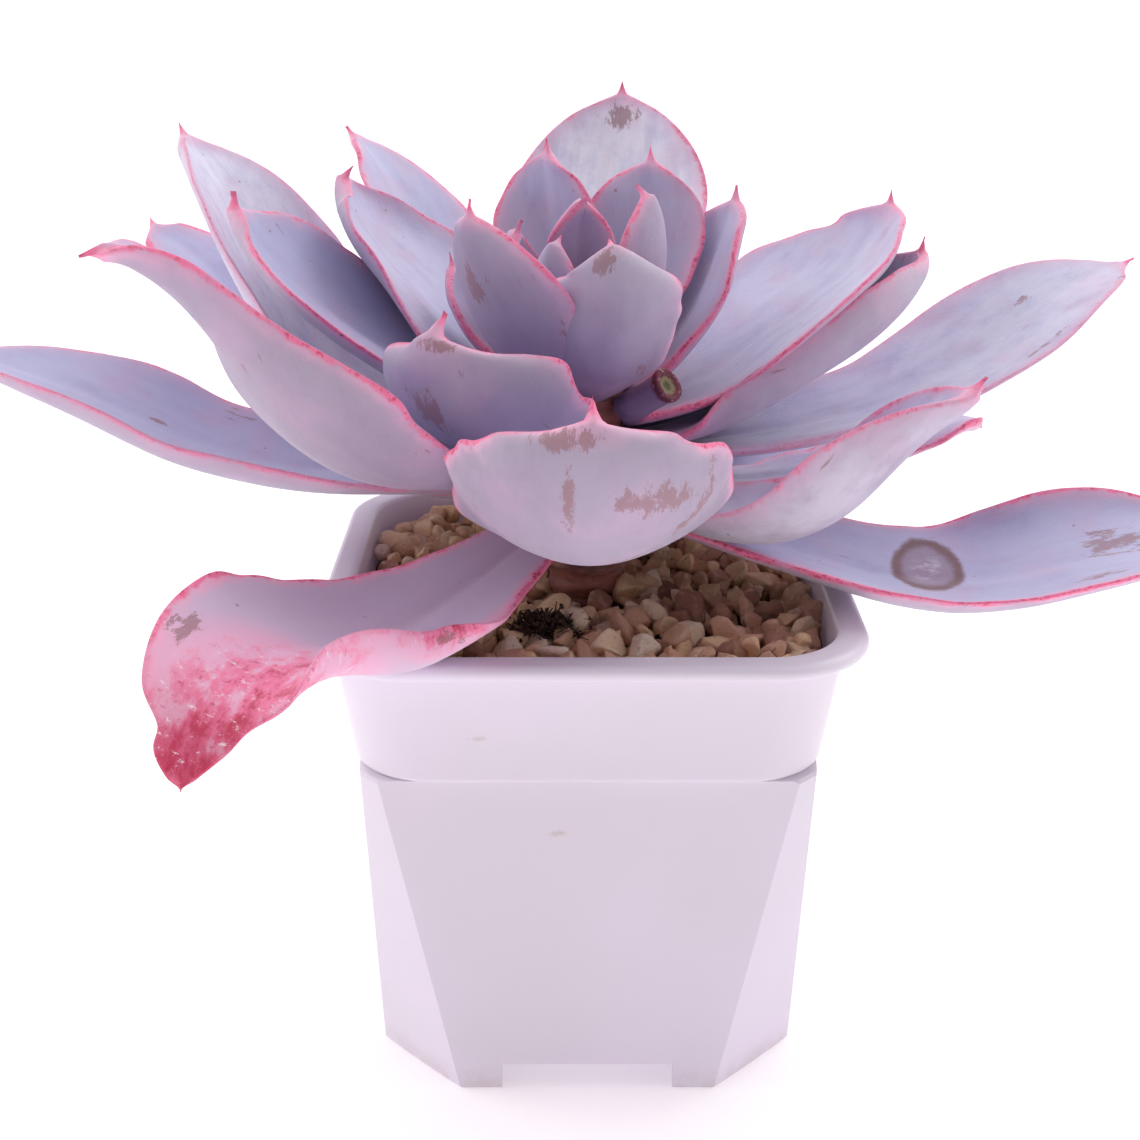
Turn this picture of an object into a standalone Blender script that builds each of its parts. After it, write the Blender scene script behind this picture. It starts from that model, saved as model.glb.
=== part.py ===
"""A rosette succulent growing in a square plastic pot, as separate named solids.

The pot stands on z = 0 with its middle on the Z axis, its notched sides square
to X and Y. The plant's front is towards -Y. Blender's unit is the metre; sizes
below are in millimetres or degrees, and MM turns millimetres into metres.
"""

import math
import random
from typing import NamedTuple

import bmesh
import bpy
from mathutils import Matrix, Vector
from mathutils.bvhtree import BVHTree

MM = 0.001
GAP = 0.3  # left between two pieces that touch

# Pot: a flared lip, a rounded collar, and a body that turns eight-sided at its foot.
RIM_HALF = 45.0
POT_HEIGHT = 84.0
RIM_CORNER = 16.0
LIP_DEPTH = 3.0
LIP_REACH = 3.8
COLLAR_DEPTH = 20.0
COLLAR_TAPER = 2.6
COLLAR_CORNER = 12.5
STEP_IN = 1.4
FOOT_HALF = 36.5
FOOT_CHAMFER = 14.5
BODY_TOP_CHAMFER = 3.0
WALL = 1.2
FOOT_WALL = 2.0
FLOOR = 1.4
UNDERSIDE_DEPTH = 6.0
NOTCH_HALF = 14.8
NOTCH_HEIGHT = 5.2
DRAIN_RADIUS = 4.5
DRAIN_OFFSET = 17.0
CORNER_STEPS = 6
SIDE_STEPS = 4

# Grit bed: fills the pot to just under the rim.
BED_BELOW_RIM = 6.0
BED_BUMP = 1.1
BED_RINGS = 7

# Stem: planted in the bed, bare at the bottom, leaves packed round its top.
STEM_RADIUS = 7.0
CROWN_RADIUS = 6.2
CROWN_FROM = POT_HEIGHT + 10.0
TAPER_FROM = POT_HEIGHT + 35.0
STEM_TOP = POT_HEIGHT + 45.0
CROWN_STEP = 4.0
STEM_PLANTED = 14.0
STEM_SIDES = 16

# Cut flower stalk, left as a stub between the leaves.
STALK_HEADING = 52.0
STALK_SEAT = POT_HEIGHT + 29.5
STALK_RISE = 33.0
STALK_LENGTH = 10.5
STALK_RADIUS = 2.7

# Leaf blades.
LEAF_BASE_THICKNESS = 3.4
LEAF_TIP_THICKNESS = 2.2
LEAF_NECK = 0.34  # base width as a share of the full width
LEAF_WIDEST = 0.64  # share of the length where the blade is widest
LOWEST_RISE = 11.0 / 45.0  # the lowest seat's height above the rim, for each millimetre of reach to the lip
LOWEST_SEAT = POT_HEIGHT + LOWEST_RISE * RIM_HALF
HIGHEST_SEAT = POT_HEIGHT + 41.0
SEAT_CROWDING = 1.3  # above 1, the seats are closer together low on the stem


class Habit(NamedTuple):
    """How a kind of leaf grows. Angles are in degrees.

    rise is the slope at the base, at each third of the length, and at the tip.
    breadth is the width as a share of the length. cup is how far the two sides
    turn up, near the base and further out. blunt runs from 0, a drawn-out point,
    to 1, a broad end.
    """

    rise: tuple
    breadth: float
    cup: tuple
    blunt: float


DROOPING = Habit((-20, -5, 20, -55), 0.34, (25, 35), 0.3)
SPREADING = Habit((-10, -15, 15, -25), 0.38, (25, 20), 0.3)
LEVEL = Habit((-5, 5, 15, 10), 0.42, (15, 25), 0.4)
ARCHING = Habit((0, 5, 25, 5), 0.3, (20, 30), 0.3)
BOWL = Habit((-5, 10, 40, 100), 0.68, (15, 65), 0.9)
FOLDED = Habit((-30, 5, 50, 30), 0.37, (60, 80), 0.2)
RISING = Habit((0, 15, 60, 20), 0.48, (25, 40), 0.3)
CUPPED = Habit((5, 30, 35, 65), 0.62, (15, 35), 0.5)
STANDING = Habit((30, 45, 65, 60), 0.6, (25, 35), 0.4)
HEART = Habit((60, 75, 95, 105), 0.55, (35, 45), 0.2)


class Leaf(NamedTuple):
    """One leaf blade. Angles are in degrees, lengths in millimetres.

    heading runs round the stem from -Y (0) towards +X (90). swing turns the leaf
    sideways by its tip, tilt lifts all of it, and twist rolls it by its tip.
    fullness is its breadth against its habit's.
    """

    name: str  # its object is called leaf_ and this
    habit: Habit
    heading: float
    length: float
    swing: float = 0.0
    tilt: float = 0.0
    twist: float = 0.0
    fullness: float = 1.0


# Oldest first: a younger leaf sits above an older one wherever the two meet.
LEAVES = (
    Leaf("front_left_drooping", DROOPING, -38, 102, swing=20, twist=20),
    Leaf("right_low", SPREADING, 75, 112, swing=25, tilt=1),
    Leaf("back_left_lowest", LEVEL, -130, 80, tilt=-8),
    Leaf("back_right_lowest", LEVEL, 135, 85, tilt=-8),
    Leaf("back_left_low", LEVEL, -160, 80, tilt=-2),
    Leaf("back_right_low", LEVEL, 155, 90, tilt=-2),
    Leaf("right_thin", ARCHING, 105, 74, swing=10, tilt=-8, fullness=0.8),
    Leaf("left_long", ARCHING, -95, 115, swing=-15, tilt=-3),
    Leaf("back_low", LEVEL, 180, 86, tilt=5),
    Leaf("front_bowl", BOWL, 0, 80, tilt=-3, fullness=0.95),
    Leaf("right_folded", FOLDED, 55, 74, swing=15),
    Leaf("left_slim", ARCHING, -114, 98, swing=-15, tilt=8, twist=20, fullness=0.8),
    Leaf("right_long", ARCHING, 100, 106, swing=25, tilt=3, twist=-10),
    Leaf("left_front_tall", RISING, -50, 97, swing=-12, twist=-10, fullness=1.05),
    Leaf("left_tall", RISING, -104, 97, swing=-35, tilt=2, twist=-20, fullness=0.9),
    Leaf("right_wide_lower", CUPPED, 106, 66, swing=-2, tilt=-4),
    Leaf("front_left_bowl", BOWL, -28, 56, swing=-10, tilt=8, twist=-10, fullness=1.05),
    Leaf("left_wide", CUPPED, -90, 68, swing=5, tilt=4, twist=10, fullness=0.9),
    Leaf("back_left_long", ARCHING, -150, 90, swing=10, tilt=15, twist=-20),
    Leaf("right_wide", CUPPED, 114, 67, swing=5, tilt=-2, twist=10, fullness=1.1),
    Leaf("back_left", CUPPED, -125, 62, swing=10, tilt=5, twist=-20, fullness=1.1),
    Leaf("back_tall", CUPPED, 176, 80, swing=-8, tilt=4, fullness=0.8),
    Leaf("right_inner", STANDING, 120, 42, swing=15, twist=20),
    Leaf("left_inner_back", STANDING, -115, 30, swing=-10, tilt=-8),
    Leaf("left_inner", STANDING, -40, 41, swing=-10, tilt=5, twist=10, fullness=1.2),
    Leaf("front_right_inner", BOWL, 10, 38, swing=-15, tilt=30, twist=10),
    Leaf("back_inner_right", STANDING, 152, 40, swing=10, tilt=8, twist=-20),
    Leaf("back_inner_left", STANDING, -160, 40, swing=-20, tilt=8, twist=40, fullness=0.85),
    Leaf("heart_left", HEART, -110, 24, tilt=-10),
    Leaf("heart_front", HEART, -40, 22, fullness=0.8),
    Leaf("heart_right", HEART, 60, 29, swing=15, tilt=-5),
    Leaf("heart_back", HEART, 190, 24, swing=15),
)

COLOURS = {
    "pot": (0.86, 0.84, 0.87),
    "grit": (0.48, 0.30, 0.19),
    "bark": (0.27, 0.13, 0.10),
    "leaf": (0.62, 0.60, 0.72),
    "stalk": (0.38, 0.20, 0.17),
}
ROUGHNESS = {"pot": 0.35, "grit": 0.95, "bark": 0.85, "leaf": 0.6, "stalk": 0.7}


def make_material(name):
    """A Principled material with the named finish's colour and roughness."""
    material = bpy.data.materials.new(name)
    material.use_nodes = True
    shader = material.node_tree.nodes["Principled BSDF"]
    shader.inputs["Base Color"].default_value = (*COLOURS[name], 1.0)
    shader.inputs["Roughness"].default_value = ROUGHNESS[name]
    shader.inputs["Metallic"].default_value = 0.0
    return material


def add_object(name, points, faces, finish):
    """A smooth-shaded object from points in millimetres, its faces turned outwards."""
    mesh = bpy.data.meshes.new(name)
    body = bmesh.new()
    corners = [body.verts.new(Vector(point) * MM) for point in points]
    for face in faces:
        body.faces.new([corners[i] for i in face])
    bmesh.ops.triangulate(body, faces=[f for f in body.faces if len(f.verts) > 4])
    bmesh.ops.recalc_face_normals(body, faces=body.faces)
    body.to_mesh(mesh)
    body.free()
    mesh.shade_smooth()
    mesh.set_sharp_from_angle(angle=math.radians(40))
    mesh.materials.append(make_material(finish))
    piece = bpy.data.objects.new(name, mesh)
    bpy.context.scene.collection.objects.link(piece)
    return piece


def loft(rings):
    """Points and faces of a closed body through rings of equal count, capped at both ends."""
    count = len(rings[0])
    points = [point for ring in rings for point in ring]
    faces = []
    for i in range(len(rings) - 1):
        for j in range(count):
            k = (j + 1) % count
            faces.append((i * count + j, i * count + k, (i + 1) * count + k, (i + 1) * count + j))
    last = (len(rings) - 1) * count
    faces.append(tuple(reversed(range(count))))
    faces.append(tuple(range(last, last + count)))
    return points, faces


def square_ring(half, cut, z, bulge=1.0):
    """A square ring whose corners are cut back by cut: arcs at bulge 1, straight chamfers at 0."""
    outline = []
    for i in range(CORNER_STEPS + 1):
        share = i / CORNER_STEPS
        angle = math.radians(90) * share
        arc = (half - cut + cut * math.cos(angle), half - cut + cut * math.sin(angle))
        flat = (half - cut * share, half - cut * (1 - share))
        outline.append([flat[k] + (arc[k] - flat[k]) * bulge for k in range(2)])
    for i in range(1, SIDE_STEPS):
        outline.append(((half - cut) * (1 - 2 * i / SIDE_STEPS), half))
    ring = []
    for quarter in range(4):
        turn = Matrix.Rotation(math.radians(90 * quarter), 3, "Z")
        ring += [turn @ Vector((x, y, z)) for x, y in outline]
    return ring


def inset_cut(cut, inset):
    """The corner cut of a ring that runs inset inside another, for a 45-degree chamfer."""
    return max(cut - inset * (2 - math.sqrt(2)), 0.5)


def inset_arc(cut, inset):
    """The corner cut of a ring that runs inset inside another, for a round corner."""
    return max(cut - inset, 0.5)


# Heights and half widths that follow from the driving sizes.
LIP_BOTTOM = POT_HEIGHT - LIP_DEPTH
COLLAR_TOP_HALF = RIM_HALF - LIP_REACH
COLLAR_BOTTOM = LIP_BOTTOM - COLLAR_DEPTH
COLLAR_BOTTOM_HALF = COLLAR_TOP_HALF - COLLAR_TAPER
BODY_TOP_HALF = COLLAR_BOTTOM_HALF - STEP_IN
FLOOR_TOP = UNDERSIDE_DEPTH + FLOOR


def collar_half(z):
    """The collar's outer half width at a height."""
    return COLLAR_BOTTOM_HALF + COLLAR_TAPER * (z - COLLAR_BOTTOM) / COLLAR_DEPTH


def body_half(z):
    """The tapering body's outer half width at a height."""
    return FOOT_HALF + (BODY_TOP_HALF - FOOT_HALF) * z / COLLAR_BOTTOM


def body_cut(z):
    """The body's corner chamfer at a height: wide at the foot, narrow under the collar."""
    return FOOT_CHAMFER + (BODY_TOP_CHAMFER - FOOT_CHAMFER) * z / COLLAR_BOTTOM


def inner_rings(inset, top):
    """Rings down the pot's inside, inset from its outer faces, from the height top to the floor."""
    shoulder = COLLAR_BOTTOM + WALL
    under = COLLAR_BOTTOM - WALL
    rings = [
        square_ring(collar_half(top) - inset, inset_arc(COLLAR_CORNER, inset), top),
        square_ring(collar_half(shoulder) - inset, inset_arc(COLLAR_CORNER, inset), shoulder),
    ]
    for z in (under, FLOOR_TOP):
        rings.append(square_ring(body_half(z) - inset, inset_cut(body_cut(z), inset), z, 0.0))
    return rings


def build_pot():
    """The pot: one wall thickness throughout, hollow above its floor and under it."""
    hollow_half = FOOT_HALF - FOOT_WALL
    hollow_cut = inset_cut(FOOT_CHAMFER, FOOT_WALL)
    lip_inner = COLLAR_TOP_HALF - WALL
    rings = [
        square_ring(hollow_half, hollow_cut, UNDERSIDE_DEPTH, 0.0),
        square_ring(hollow_half, hollow_cut, 0, 0.0),
        square_ring(FOOT_HALF, FOOT_CHAMFER, 0, 0.0),
        square_ring(BODY_TOP_HALF, BODY_TOP_CHAMFER, COLLAR_BOTTOM, 0.0),
        square_ring(COLLAR_BOTTOM_HALF, COLLAR_CORNER, COLLAR_BOTTOM + 0.4),
        square_ring(COLLAR_TOP_HALF, COLLAR_CORNER, LIP_BOTTOM),
        square_ring(RIM_HALF - 0.8, RIM_CORNER, POT_HEIGHT - 0.6 * LIP_DEPTH),
        square_ring(RIM_HALF, RIM_CORNER, POT_HEIGHT - 0.35 * LIP_DEPTH),
        square_ring(RIM_HALF - 0.6, RIM_CORNER, POT_HEIGHT),
        square_ring(lip_inner + 1.6, COLLAR_CORNER + 1.5, POT_HEIGHT),
    ]
    rings += inner_rings(WALL, LIP_BOTTOM - 0.5)
    pot = add_object("pot", *loft(rings), "pot")
    reach = 2 * RIM_HALF
    cutters = []
    for name, size in (("notch_x", (reach, 2 * NOTCH_HALF)), ("notch_y", (2 * NOTCH_HALF, reach))):
        bpy.ops.mesh.primitive_cube_add(size=1, location=(0, 0, 0))
        block = bpy.context.active_object
        block.name = name
        block.dimensions = (size[0] * MM, size[1] * MM, 2 * NOTCH_HEIGHT * MM)
        cutters.append(block)
    for i, (sx, sy) in enumerate(((0, 0), (1, 1), (1, -1), (-1, 1), (-1, -1))):
        place = (sx * DRAIN_OFFSET * MM, sy * DRAIN_OFFSET * MM, UNDERSIDE_DEPTH * MM)
        bpy.ops.mesh.primitive_cylinder_add(
            vertices=20, radius=DRAIN_RADIUS * MM, depth=4 * FLOOR * MM, location=place
        )
        drain = bpy.context.active_object
        drain.name = f"drain_hole_{i + 1}"
        cutters.append(drain)
    for cutter in cutters:
        cut(pot, cutter)
    return pot


def cut(piece, cutter):
    """Cuts a hidden cutter out of a piece."""
    cutter.hide_render = True
    cutter.display_type = "WIRE"
    boolean = piece.modifiers.new(cutter.name, "BOOLEAN")
    boolean.operation = "DIFFERENCE"
    boolean.solver = "EXACT"
    boolean.object = cutter


def circle_ring(radius, z, count, start=0.0):
    """A level circle of points."""
    angles = [start + 2 * math.pi * i / count for i in range(count)]
    return [(radius * math.cos(a), radius * math.sin(a), z) for a in angles]


def build_grit_bed():
    """The grit that fills the pot, its top uneven, with a hole where the stem is planted."""
    top = POT_HEIGHT - BED_BELOW_RIM
    rings = inner_rings(WALL + GAP, top)
    rings.reverse()
    rings[0] = [(x, y, FLOOR_TOP + GAP) for x, y, _ in rings[0]]
    edge = rings[-1]
    # The hole's points start where the square ring's do, with a corner's middle at 45 degrees.
    start = math.radians(45 - 90 * (CORNER_STEPS / 2) / (CORNER_STEPS + SIDE_STEPS))
    mouth = circle_ring(STEM_RADIUS + GAP, top + 2 * BED_BUMP, len(edge), start)
    random.seed(7)
    for i in range(1, BED_RINGS):
        share = i / BED_RINGS
        ring = []
        for (x, y, _), (hole_x, hole_y, _) in zip(edge, mouth):
            z = top + 2 * BED_BUMP * share + random.uniform(-BED_BUMP, BED_BUMP)
            ring.append((x + (hole_x - x) * share, y + (hole_y - y) * share, z))
        rings.append(ring)
    rings.append(mouth)
    rings.append([(x, y, top - STEM_PLANTED) for x, y, _ in mouth])
    return add_object("grit_bed", *loft(rings), "grit")


def stem_radius(z):
    """The stem's radius at a height."""
    if z <= CROWN_FROM:
        return STEM_RADIUS
    if z <= TAPER_FROM:
        return STEM_RADIUS + (CROWN_RADIUS - STEM_RADIUS) * min((z - CROWN_FROM) / CROWN_STEP, 1)
    share = (z - TAPER_FROM) / (STEM_TOP - TAPER_FROM)
    return CROWN_RADIUS * max(1 - share * share, 0.08)


def build_stem():
    """The stem, from its planted end in the grit to the rounded growing point."""
    foot = POT_HEIGHT - BED_BELOW_RIM - STEM_PLANTED + GAP
    middle = (CROWN_FROM + TAPER_FROM) / 2
    heights = [foot, POT_HEIGHT - BED_BELOW_RIM, POT_HEIGHT]
    heights += [CROWN_FROM, CROWN_FROM + CROWN_STEP, middle, TAPER_FROM]
    heights += [TAPER_FROM + (STEM_TOP - TAPER_FROM) * share for share in (0.3, 0.6, 0.8, 0.95, 1.0)]
    rings = [circle_ring(stem_radius(z), z, STEM_SIDES) for z in heights]
    return add_object("stem", *loft(rings), "bark")


def along(values, share):
    """A smooth curve through equally spaced values, read at a share of its length."""
    spans = len(values) - 1
    i = min(int(share * spans), spans - 1)
    t = share * spans - i
    p1, p2 = values[i], values[i + 1]
    p0 = values[i - 1] if i > 0 else 2 * p1 - p2
    p3 = values[i + 2] if i + 2 <= spans else 2 * p2 - p1
    curve = 2 * p1 + (p2 - p0) * t
    curve += (2 * p0 - 5 * p1 + 4 * p2 - p3) * t**2
    curve += (3 * p1 - p0 - 3 * p2 + p3) * t**3
    return curve / 2


def ease(share):
    """A smooth step from 0 to 1."""
    share = min(max(share, 0.0), 1.0)
    return share * share * (3 - 2 * share)


def seat_height(leaf):
    """The height at which a leaf leaves the stem, from its place in the order of age."""
    share = (LEAVES.index(leaf) / (len(LEAVES) - 1)) ** SEAT_CROWDING
    return LOWEST_SEAT + (HIGHEST_SEAT - LOWEST_SEAT) * share


def half_width(leaf, share):
    """Half the blade's width at a share of its length: a narrow neck, a broad end, a pointed tip."""
    full = leaf.length * leaf.habit.breadth * leaf.fullness / 2
    if share < LEAF_WIDEST:
        swell = math.sin(math.pi / 2 * share / LEAF_WIDEST) ** 1.25
        return full * (LEAF_NECK + (1 - LEAF_NECK) * swell)
    beyond = (share - LEAF_WIDEST) / (1 - LEAF_WIDEST)
    shape = 1 - beyond ** (1.6 + 1.6 * leaf.habit.blunt)
    return full * max(shape, 0.0) ** (0.95 - 0.35 * leaf.habit.blunt)


def direction(heading, slope):
    """The unit vector at a heading round the stem and a slope above the level, both in radians."""
    level = math.cos(slope)
    return Vector((level * math.sin(heading), -level * math.cos(heading), math.sin(slope)))


def seat_point(heading, seat, thickness, rise):
    """Where the middle of a base of this thickness clears the stem by the gap. Angles are in radians."""
    inward = thickness / 2 * math.sin(rise)
    upward = thickness / 2 * math.cos(rise)
    reach = GAP + max(stem_radius(seat + upward) + inward, stem_radius(seat - upward) - inward)
    return Vector((reach * math.sin(heading), -reach * math.cos(heading), seat))


def blade_thickness(leaf, share):
    """The blade's thickness along its middle, less where the blade is narrow."""
    thickness = LEAF_BASE_THICKNESS + (LEAF_TIP_THICKNESS - LEAF_BASE_THICKNESS) * share
    return min(thickness, 1.2 * half_width(leaf, share))


def stations(leaf, count):
    """The midrib's places, each with the blade's sideways and upward directions there."""
    heading = math.radians(leaf.heading)
    rise = [math.radians(slope + leaf.tilt) for slope in leaf.habit.rise]
    place = seat_point(heading, seat_height(leaf), blade_thickness(leaf, 0), rise[0])
    step = leaf.length / (count - 1)
    before = None
    found = []
    for i in range(count):
        share = i / (count - 1)
        slope = along(rise, share)
        turn = heading + math.radians(leaf.swing) * share**1.5
        forward = direction(turn, slope)
        upward = direction(turn, slope + math.pi / 2)
        side = forward.cross(upward)
        roll = math.radians(leaf.twist) * share
        right = side * math.cos(roll) + upward * math.sin(roll)
        up = upward * math.cos(roll) - side * math.sin(roll)
        if before is not None:
            place = place + (before + forward).normalized() * step
        before = forward
        found.append((share, place.copy(), right, up))
    return found


def blade_ring(leaf, station, across, grow):
    """One closed section of the blade: its upper side from left to right, then its underside back."""
    share, place, right, up = station
    half = half_width(leaf, share) + grow
    near, far = leaf.habit.cup
    cup = math.radians(near + (far - near) * ease(share / 0.7))
    thickness = blade_thickness(leaf, share) + 2 * grow
    upper, under = [], []
    for i in range(2 * across + 1):
        v = math.sin((i / across - 1) * math.pi / 2)
        angle = cup * abs(v)
        middle = place + right * (half * math.sin(angle) / cup * (1 if v > 0 else -1))
        middle = middle + up * (half * (1 - math.cos(angle)) / cup)
        normal = up * math.cos(angle) - right * (math.sin(angle) * (1 if v > 0 else -1))
        depth = thickness / 2 * max(1 - v * v, 0.0) ** 0.4
        upper.append(middle + normal * depth)
        if 0 < i < 2 * across:
            under.append(middle - normal * depth)
    return upper + under[::-1]


def leaf_shape(leaf, grow=0.0):
    """Points and faces of a leaf, grown outwards by grow on every side."""
    small = leaf.length < 45
    across = 2 if small else 3
    line = stations(leaf, 10 if small else 15)
    rings = [blade_ring(leaf, station, across, grow) for station in line[:-1]]
    points, faces = loft(rings)
    count = len(rings[0])
    last = len(points) - count
    faces.pop()
    tip = line[-1][1]
    points.append(tip + (tip - line[-2][1]).normalized() * grow)
    for j in range(count):
        faces.append((last + j, last + (j + 1) % count, len(points) - 1))
    return points, faces


def build_stalk():
    """The stub of a cut flower stalk, flared a little at its cut end."""
    heading = math.radians(STALK_HEADING)
    rise = math.radians(STALK_RISE)
    forward = direction(heading, rise)
    foot = seat_point(heading, STALK_SEAT, 2 * STALK_RADIUS, rise)
    side = forward.cross(Vector((0, 0, 1))).normalized()
    up = side.cross(forward)
    rings = []
    for share, flare in ((0, 1.0), (0.5, 0.94), (0.85, 1.0), (0.95, 1.1), (1.0, 1.04)):
        ring = []
        for i in range(STEM_SIDES):
            angle = 2 * math.pi * i / STEM_SIDES
            spoke = side * math.cos(angle) + up * math.sin(angle)
            ring.append(foot + forward * STALK_LENGTH * share + spoke * STALK_RADIUS * flare)
        rings.append(ring)
    return add_object("flower_stalk_stub", *loft(rings), "stalk")


def surface_tree(piece):
    """A search tree over a piece's triangles."""
    body = bmesh.new()
    body.from_mesh(piece.data)
    bmesh.ops.triangulate(body, faces=body.faces)
    tree = BVHTree.FromBMesh(body)
    body.free()
    return tree


def keep_largest(mesh):
    """Deletes the loose slivers that a cut leaves, so that the piece stays one body."""
    body = bmesh.new()
    body.from_mesh(mesh)
    unseen = set(body.verts)
    islands = []
    while unseen:
        island = {unseen.pop()}
        edge = list(island)
        while edge:
            vert = edge.pop()
            for link in vert.link_edges:
                other = link.other_vert(vert)
                if other in unseen:
                    unseen.discard(other)
                    island.add(other)
                    edge.append(other)
        islands.append(island)
    islands.sort(key=len)
    bmesh.ops.delete(body, geom=[v for island in islands[:-1] for v in island], context="VERTS")
    bmesh.ops.remove_doubles(body, verts=body.verts, dist=0.002 * MM)
    bmesh.ops.dissolve_degenerate(body, dist=0.002 * MM, edges=body.edges)
    body.to_mesh(mesh)
    body.free()


def build_leaves(stalk):
    """Every leaf, the younger ones pressed to shape where they meet an older one or the stalk."""
    done = [(stalk, None)]
    for leaf in LEAVES:
        piece = add_object(f"leaf_{leaf.name}", *leaf_shape(leaf), "leaf")
        tree = surface_tree(piece)
        cutters = []
        for other, plan in done:
            guard = add_object("guard", *leaf_shape(plan, GAP), "leaf") if plan else other
            if tree.overlap(surface_tree(guard)):
                cutters.append(guard)
            elif plan:
                bpy.data.objects.remove(guard)
        for guard in cutters:
            boolean = piece.modifiers.new("press", "BOOLEAN")
            boolean.operation = "DIFFERENCE"
            boolean.solver = "EXACT"
            boolean.use_self = True
            boolean.object = guard
        if cutters:
            graph = bpy.context.evaluated_depsgraph_get()
            mesh = bpy.data.meshes.new_from_object(piece.evaluated_get(graph))
            piece.modifiers.clear()
            piece.data = mesh
            keep_largest(mesh)
            for guard in cutters:
                if guard is not stalk:
                    bpy.data.objects.remove(guard)
        done.append((piece, leaf))


def main():
    """Clears the scene and builds every piece."""
    for old in list(bpy.data.objects):
        bpy.data.objects.remove(old)
    build_pot()
    build_grit_bed()
    build_stem()
    build_leaves(build_stalk())


if __name__ == "__main__":
    main()
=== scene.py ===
"""Looks of a rosette succulent in a square plastic pot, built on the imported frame.

Sizes are in millimetres and degrees unless a name says otherwise; MM turns
millimetres into metres. The plant's front is towards -Y and +Z is up.
"""

import logging
import math
from dataclasses import dataclass, field
from enum import Enum
from typing import ClassVar

import bmesh
import bpy
import numpy as np
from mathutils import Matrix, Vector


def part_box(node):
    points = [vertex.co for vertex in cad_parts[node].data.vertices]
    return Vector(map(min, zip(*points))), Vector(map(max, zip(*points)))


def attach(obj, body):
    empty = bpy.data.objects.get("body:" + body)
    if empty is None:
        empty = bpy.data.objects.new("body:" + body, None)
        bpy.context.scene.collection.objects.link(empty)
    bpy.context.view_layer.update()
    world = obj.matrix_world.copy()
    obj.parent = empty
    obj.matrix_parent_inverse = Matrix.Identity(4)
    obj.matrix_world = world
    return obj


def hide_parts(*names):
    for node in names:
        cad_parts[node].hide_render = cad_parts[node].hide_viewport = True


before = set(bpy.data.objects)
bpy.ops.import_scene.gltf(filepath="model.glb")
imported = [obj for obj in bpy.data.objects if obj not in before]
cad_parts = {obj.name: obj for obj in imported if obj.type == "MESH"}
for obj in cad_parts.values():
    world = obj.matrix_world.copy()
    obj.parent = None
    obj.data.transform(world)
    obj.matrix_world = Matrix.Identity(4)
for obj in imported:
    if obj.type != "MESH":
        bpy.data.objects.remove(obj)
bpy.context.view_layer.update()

MM = 0.001
BODY = "root"
GRIT_BELOW_RIM = 6.0
STALK_ABOVE_RIM = 29.5
LOWEST_LEAF_ABOVE_RIM = 11.0
HEART_ABOVE_RIM = 41.0
# Stored where a leaf has no dried drop: far outside any ring.
FAR_OFF = 99.0
LOG = logging.getLogger("succulent")
Socket = bpy.types.NodeSocket


class Slot(Enum):
    """The record's material slots."""

    POT = "pot_plastic"
    GRIT = "grit"
    BARK = "stem_bark"
    STALK = "cut_stalk"
    LEAF = "leaf_skin"


class Side(Enum):
    """A leaf's sides, as seen from the stem looking along the leaf."""

    LEFT = -1
    RIGHT = 1


# ---------------------------------------------------------------- node graphs


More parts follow.
